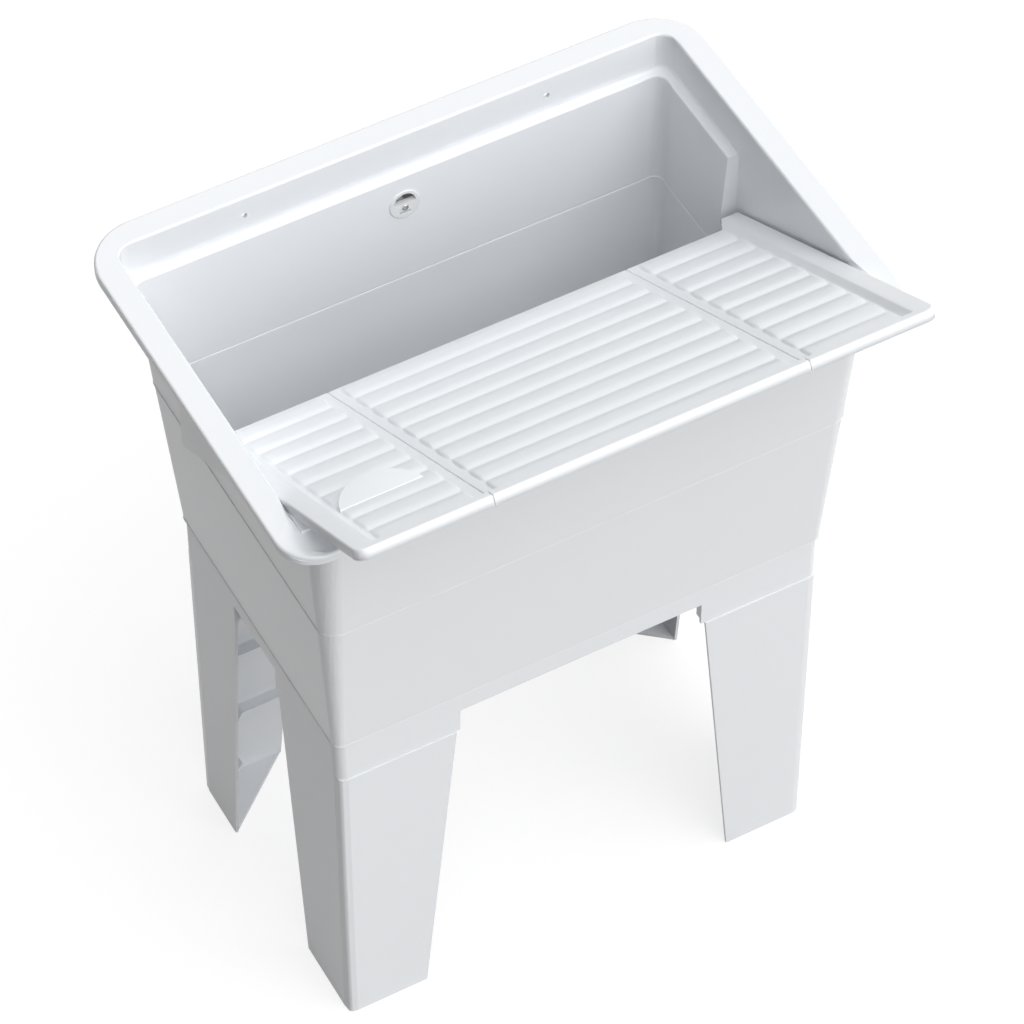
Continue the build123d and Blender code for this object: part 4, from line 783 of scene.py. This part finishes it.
class SINK_OT_soap_rest(bpy.types.Operator):
    """Raise the D-shaped soap rest on the left panel."""

    bl_idname = "sink.soap_rest"
    bl_label = "Raise soap rest"

    def execute(self, context):
        board = context.scene.sink_washboard
        bm = bmesh.new()
        depth = PAD_FRONT - PAD_APEX
        radius = (PAD_HALF ** 2 + depth ** 2) / (2 * depth)
        middle = Vector((PAD_X, -(PAD_APEX + radius), 0.0))
        bmesh.ops.create_circle(bm, cap_ends=True, segments=PAD_SEGMENTS, radius=radius,
                                matrix=Matrix.Translation(middle))
        bmesh.ops.bisect_plane(
            bm, geom=bm.verts[:] + bm.edges[:] + bm.faces[:], plane_co=(0.0, -PAD_FRONT, 0.0),
            plane_no=(0.0, -1.0, 0.0), clear_outer=True)
        lifted = bmesh.ops.extrude_face_region(bm, geom=bm.faces[:])
        slope = (PAD_APEX_HEIGHT - PAD_FRONT_HEIGHT) / depth
        top = [item for item in lifted["geom"] if isinstance(item, bmesh.types.BMVert)]
        for vert in top:
            vert.co.z = PAD_FRONT_HEIGHT + slope * (vert.co.y + PAD_FRONT)
        bmesh.ops.recalc_face_normals(bm, faces=bm.faces)
        top_set = set(top)
        crown = [edge for edge in bm.edges if edge.verts[0] in top_set and edge.verts[1] in top_set]
        bmesh.ops.bevel(bm, geom=crown, offset=PAD_EDGE, offset_type="OFFSET", segments=4,
                        profile=0.5, affect="EDGES", clamp_overlap=True, material=-1)
        bmesh.ops.transform(bm, matrix=board_matrix(board), verts=bm.verts)
        place_piece(bm, "soap_rest", bpy.data.materials["washboard_plastic"], "washboard")
        return {"FINISHED"}


class SINK_OT_fittings(bpy.types.Operator):
    """Give every carried-over node its finish."""

    bl_idname = "sink.fittings"
    bl_label = "Finish fittings"

    finishes = {
        "overflow_rosette": "fitting_plastic",
        "overflow_elbow": "fitting_plastic",
        "overflow_pipe_nuts": "fitting_plastic",
        "waste_body": "fitting_plastic",
        "trap_body": "fitting_plastic",
        "trap_cup": "fitting_plastic",
        "trap_inlet_nut": "fitting_plastic",
        "trap_outlet_nut": "fitting_plastic",
        "overflow_pipe": "pipe_plastic",
        "trap_outlet_pipe": "pipe_plastic",
        "overflow_gasket": "seal_rubber",
        "waste_gasket_upper": "seal_rubber",
        "waste_gasket_lower": "seal_rubber",
        "trap_inlet_washer": "seal_rubber",
        "trap_outlet_washer": "seal_rubber",
        "trap_cup_seal": "seal_rubber",
        "drain_plug": "plug_rubber",
        "waste_strainer": "strainer_steel",
        "waste_screw": "screw_steel",
        "overflow_screw": "screw_steel",
    }

    def execute(self, context):
        for node, finish in self.finishes.items():
            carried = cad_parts[node]
            carried.data.materials.clear()
            carried.data.materials.append(bpy.data.materials[finish])
        return {"FINISHED"}


# Name, strength property, direction in which the lamp stands, and its width in degrees.
LAMPS = (
    ("key_lamp", "key", (0.15, -0.55, 1.0), 60.0),
    ("fill_lamp", "fill", (0.3, -1.0, 0.15), 45.0),
    ("side_light", "side", (1.0, 0.0, 0.7), 150.0),
    ("rear_lamp", "rear", (0.1, 0.5, 1.0), 60.0),
)
FLOOR_HALF = 6.0
FLOOR_GRAIN_SCALE = 30.0
FLOOR_GRAIN_SHADE = 1.02
FLOOR_ROUGHNESS = 0.8
FLOOR_SPECULAR = 0.1
SENSOR_MM = 36.0
CLIP_END = 50.0


class SINK_OT_stage(bpy.types.Operator):
    """Set the floor, the light and the camera."""

    bl_idname = "sink.stage"
    bl_label = "Set stage"

    def execute(self, context):
        stage = context.scene.sink_stage
        self.floor(stage)
        self.sky(context.scene)
        for name, strength, towards, width in LAMPS:
            self.lamp(name, towards, getattr(stage, strength), width)
        self.camera(context.scene, stage)
        context.scene.view_settings.view_transform = "Standard"
        return {"FINISHED"}

    def background_rays(self, shop):
        """1 for the rays that show the background, 0 for those that light the object."""
        seen, glossy, through = (
            shop.node("ShaderNodeLightPath", out=ray)
            for ray in (CAMERA_RAY, GLOSSY_RAY, TRANSMISSION_RAY))
        direct = shop.node("ShaderNodeMath", {"operation": "MAXIMUM"}, {0: seen, 1: glossy})
        return shop.node("ShaderNodeMath", {"operation": "MAXIMUM"}, {0: direct, 1: through})

    def floor(self, stage):
        """Pale floor that the camera sees as white apart from the sink's shadow."""
        bm = bmesh.new()
        bmesh.ops.create_grid(bm, x_segments=1, y_segments=1, size=FLOOR_HALF)
        mesh = bpy.data.meshes.new("floor")
        bm.to_mesh(mesh)
        bm.free()
        floor = bpy.data.objects.new("floor", mesh)
        bpy.context.scene.collection.objects.link(floor)
        material = bpy.data.materials.new("pale_floor")
        shop = Shop(material)
        bounce = (stage.floor_bounce,) * 3
        grain = shop.noise(shop.object_place(), FLOOR_GRAIN_SCALE, 2.0)
        tint = shop.blend(grain, rgba(bounce), rgba(bounce, FLOOR_GRAIN_SHADE))
        light = shop.blend(
            self.background_rays(shop), rgba((0.0, 0.0, 0.0)), rgba((stage.floor_glow,) * 3))
        surface = shop.node("ShaderNodeBsdfPrincipled", None, {
            "Base Color": tint, "Roughness": FLOOR_ROUGHNESS, "Specular IOR Level": FLOOR_SPECULAR,
            "Emission Color": light, "Emission Strength": 1.0,
        })
        shop.node("ShaderNodeOutputMaterial", None, {0: surface})
        mesh.materials.append(material)

    def sky(self, scene):
        """White for the camera and for reflections, while the lamps alone light the sink."""
        scene.world = bpy.data.worlds.new("studio")
        shop = Shop(scene.world)
        light = shop.node("ShaderNodeBackground", None, {
            "Color": (1.0, 1.0, 1.0, 1.0), "Strength": self.background_rays(shop)})
        shop.node("ShaderNodeOutputWorld", None, {0: light})

    def lamp(self, name, towards, strength, width):
        """Soft distant lamp that stands in the direction towards."""
        lamp = bpy.data.lights.new(name, "SUN")
        lamp.energy = strength
        lamp.angle = radians(width)
        holder = bpy.data.objects.new(name, lamp)
        holder.rotation_euler = Vector(towards).to_track_quat("Z", "Y").to_euler()
        bpy.context.scene.collection.objects.link(holder)

    def camera(self, scene, stage):
        """Camera at the photograph's viewing angle."""
        camera = bpy.data.cameras.new("camera")
        camera.sensor_width = SENSOR_MM
        camera.sensor_fit = "HORIZONTAL"
        camera.lens = stage.lens
        camera.clip_end = CLIP_END
        holder = bpy.data.objects.new("camera", camera)
        holder.location = stage.camera_place
        holder.rotation_euler = (stage.camera_pitch, 0.0, stage.camera_turn)
        scene.collection.objects.link(holder)
        scene.camera = holder


class SINK_PT_panel(bpy.types.Panel):
    """Laundry sink tools."""

    bl_label = "Laundry sink"
    bl_idname = "SINK_PT_panel"
    bl_space_type = "VIEW_3D"
    bl_region_type = "UI"
    bl_category = "Laundry sink"

    def draw(self, context):
        for operator in STEPS:
            self.layout.operator(operator.bl_idname)
        for group in GROUPS:
            settings = getattr(context.scene, group)
            box = self.layout.box()
            for name in settings.__annotations__:
                box.prop(settings, name)


GROUPS = {
    "sink_tub": SINK_PG_tub,
    "sink_washboard": SINK_PG_washboard,
    "sink_finish": SINK_PG_finish,
    "sink_stage": SINK_PG_stage,
}
STEPS = (
    SINK_OT_finishes,
    SINK_OT_tub,
    SINK_OT_legs,
    SINK_OT_washboard,
    SINK_OT_soap_rest,
    SINK_OT_fittings,
    SINK_OT_stage,
)


def register():
    for group in GROUPS.values():
        bpy.utils.register_class(group)
    for name, group in GROUPS.items():
        setattr(bpy.types.Scene, name, PointerProperty(type=group))
    for step in STEPS:
        bpy.utils.register_class(step)
    bpy.utils.register_class(SINK_PT_panel)


def unregister():
    bpy.utils.unregister_class(SINK_PT_panel)
    for step in reversed(STEPS):
        bpy.utils.unregister_class(step)
    for name in GROUPS:
        delattr(bpy.types.Scene, name)
    for group in reversed(GROUPS.values()):
        bpy.utils.unregister_class(group)


def main():
    register()
    bpy.ops.sink.finishes()
    bpy.ops.sink.tub()
    bpy.ops.sink.legs()
    bpy.ops.sink.washboard()
    bpy.ops.sink.soap_rest()
    bpy.ops.sink.fittings()
    bpy.ops.sink.stage()


if __name__ == "__main__":
    main()
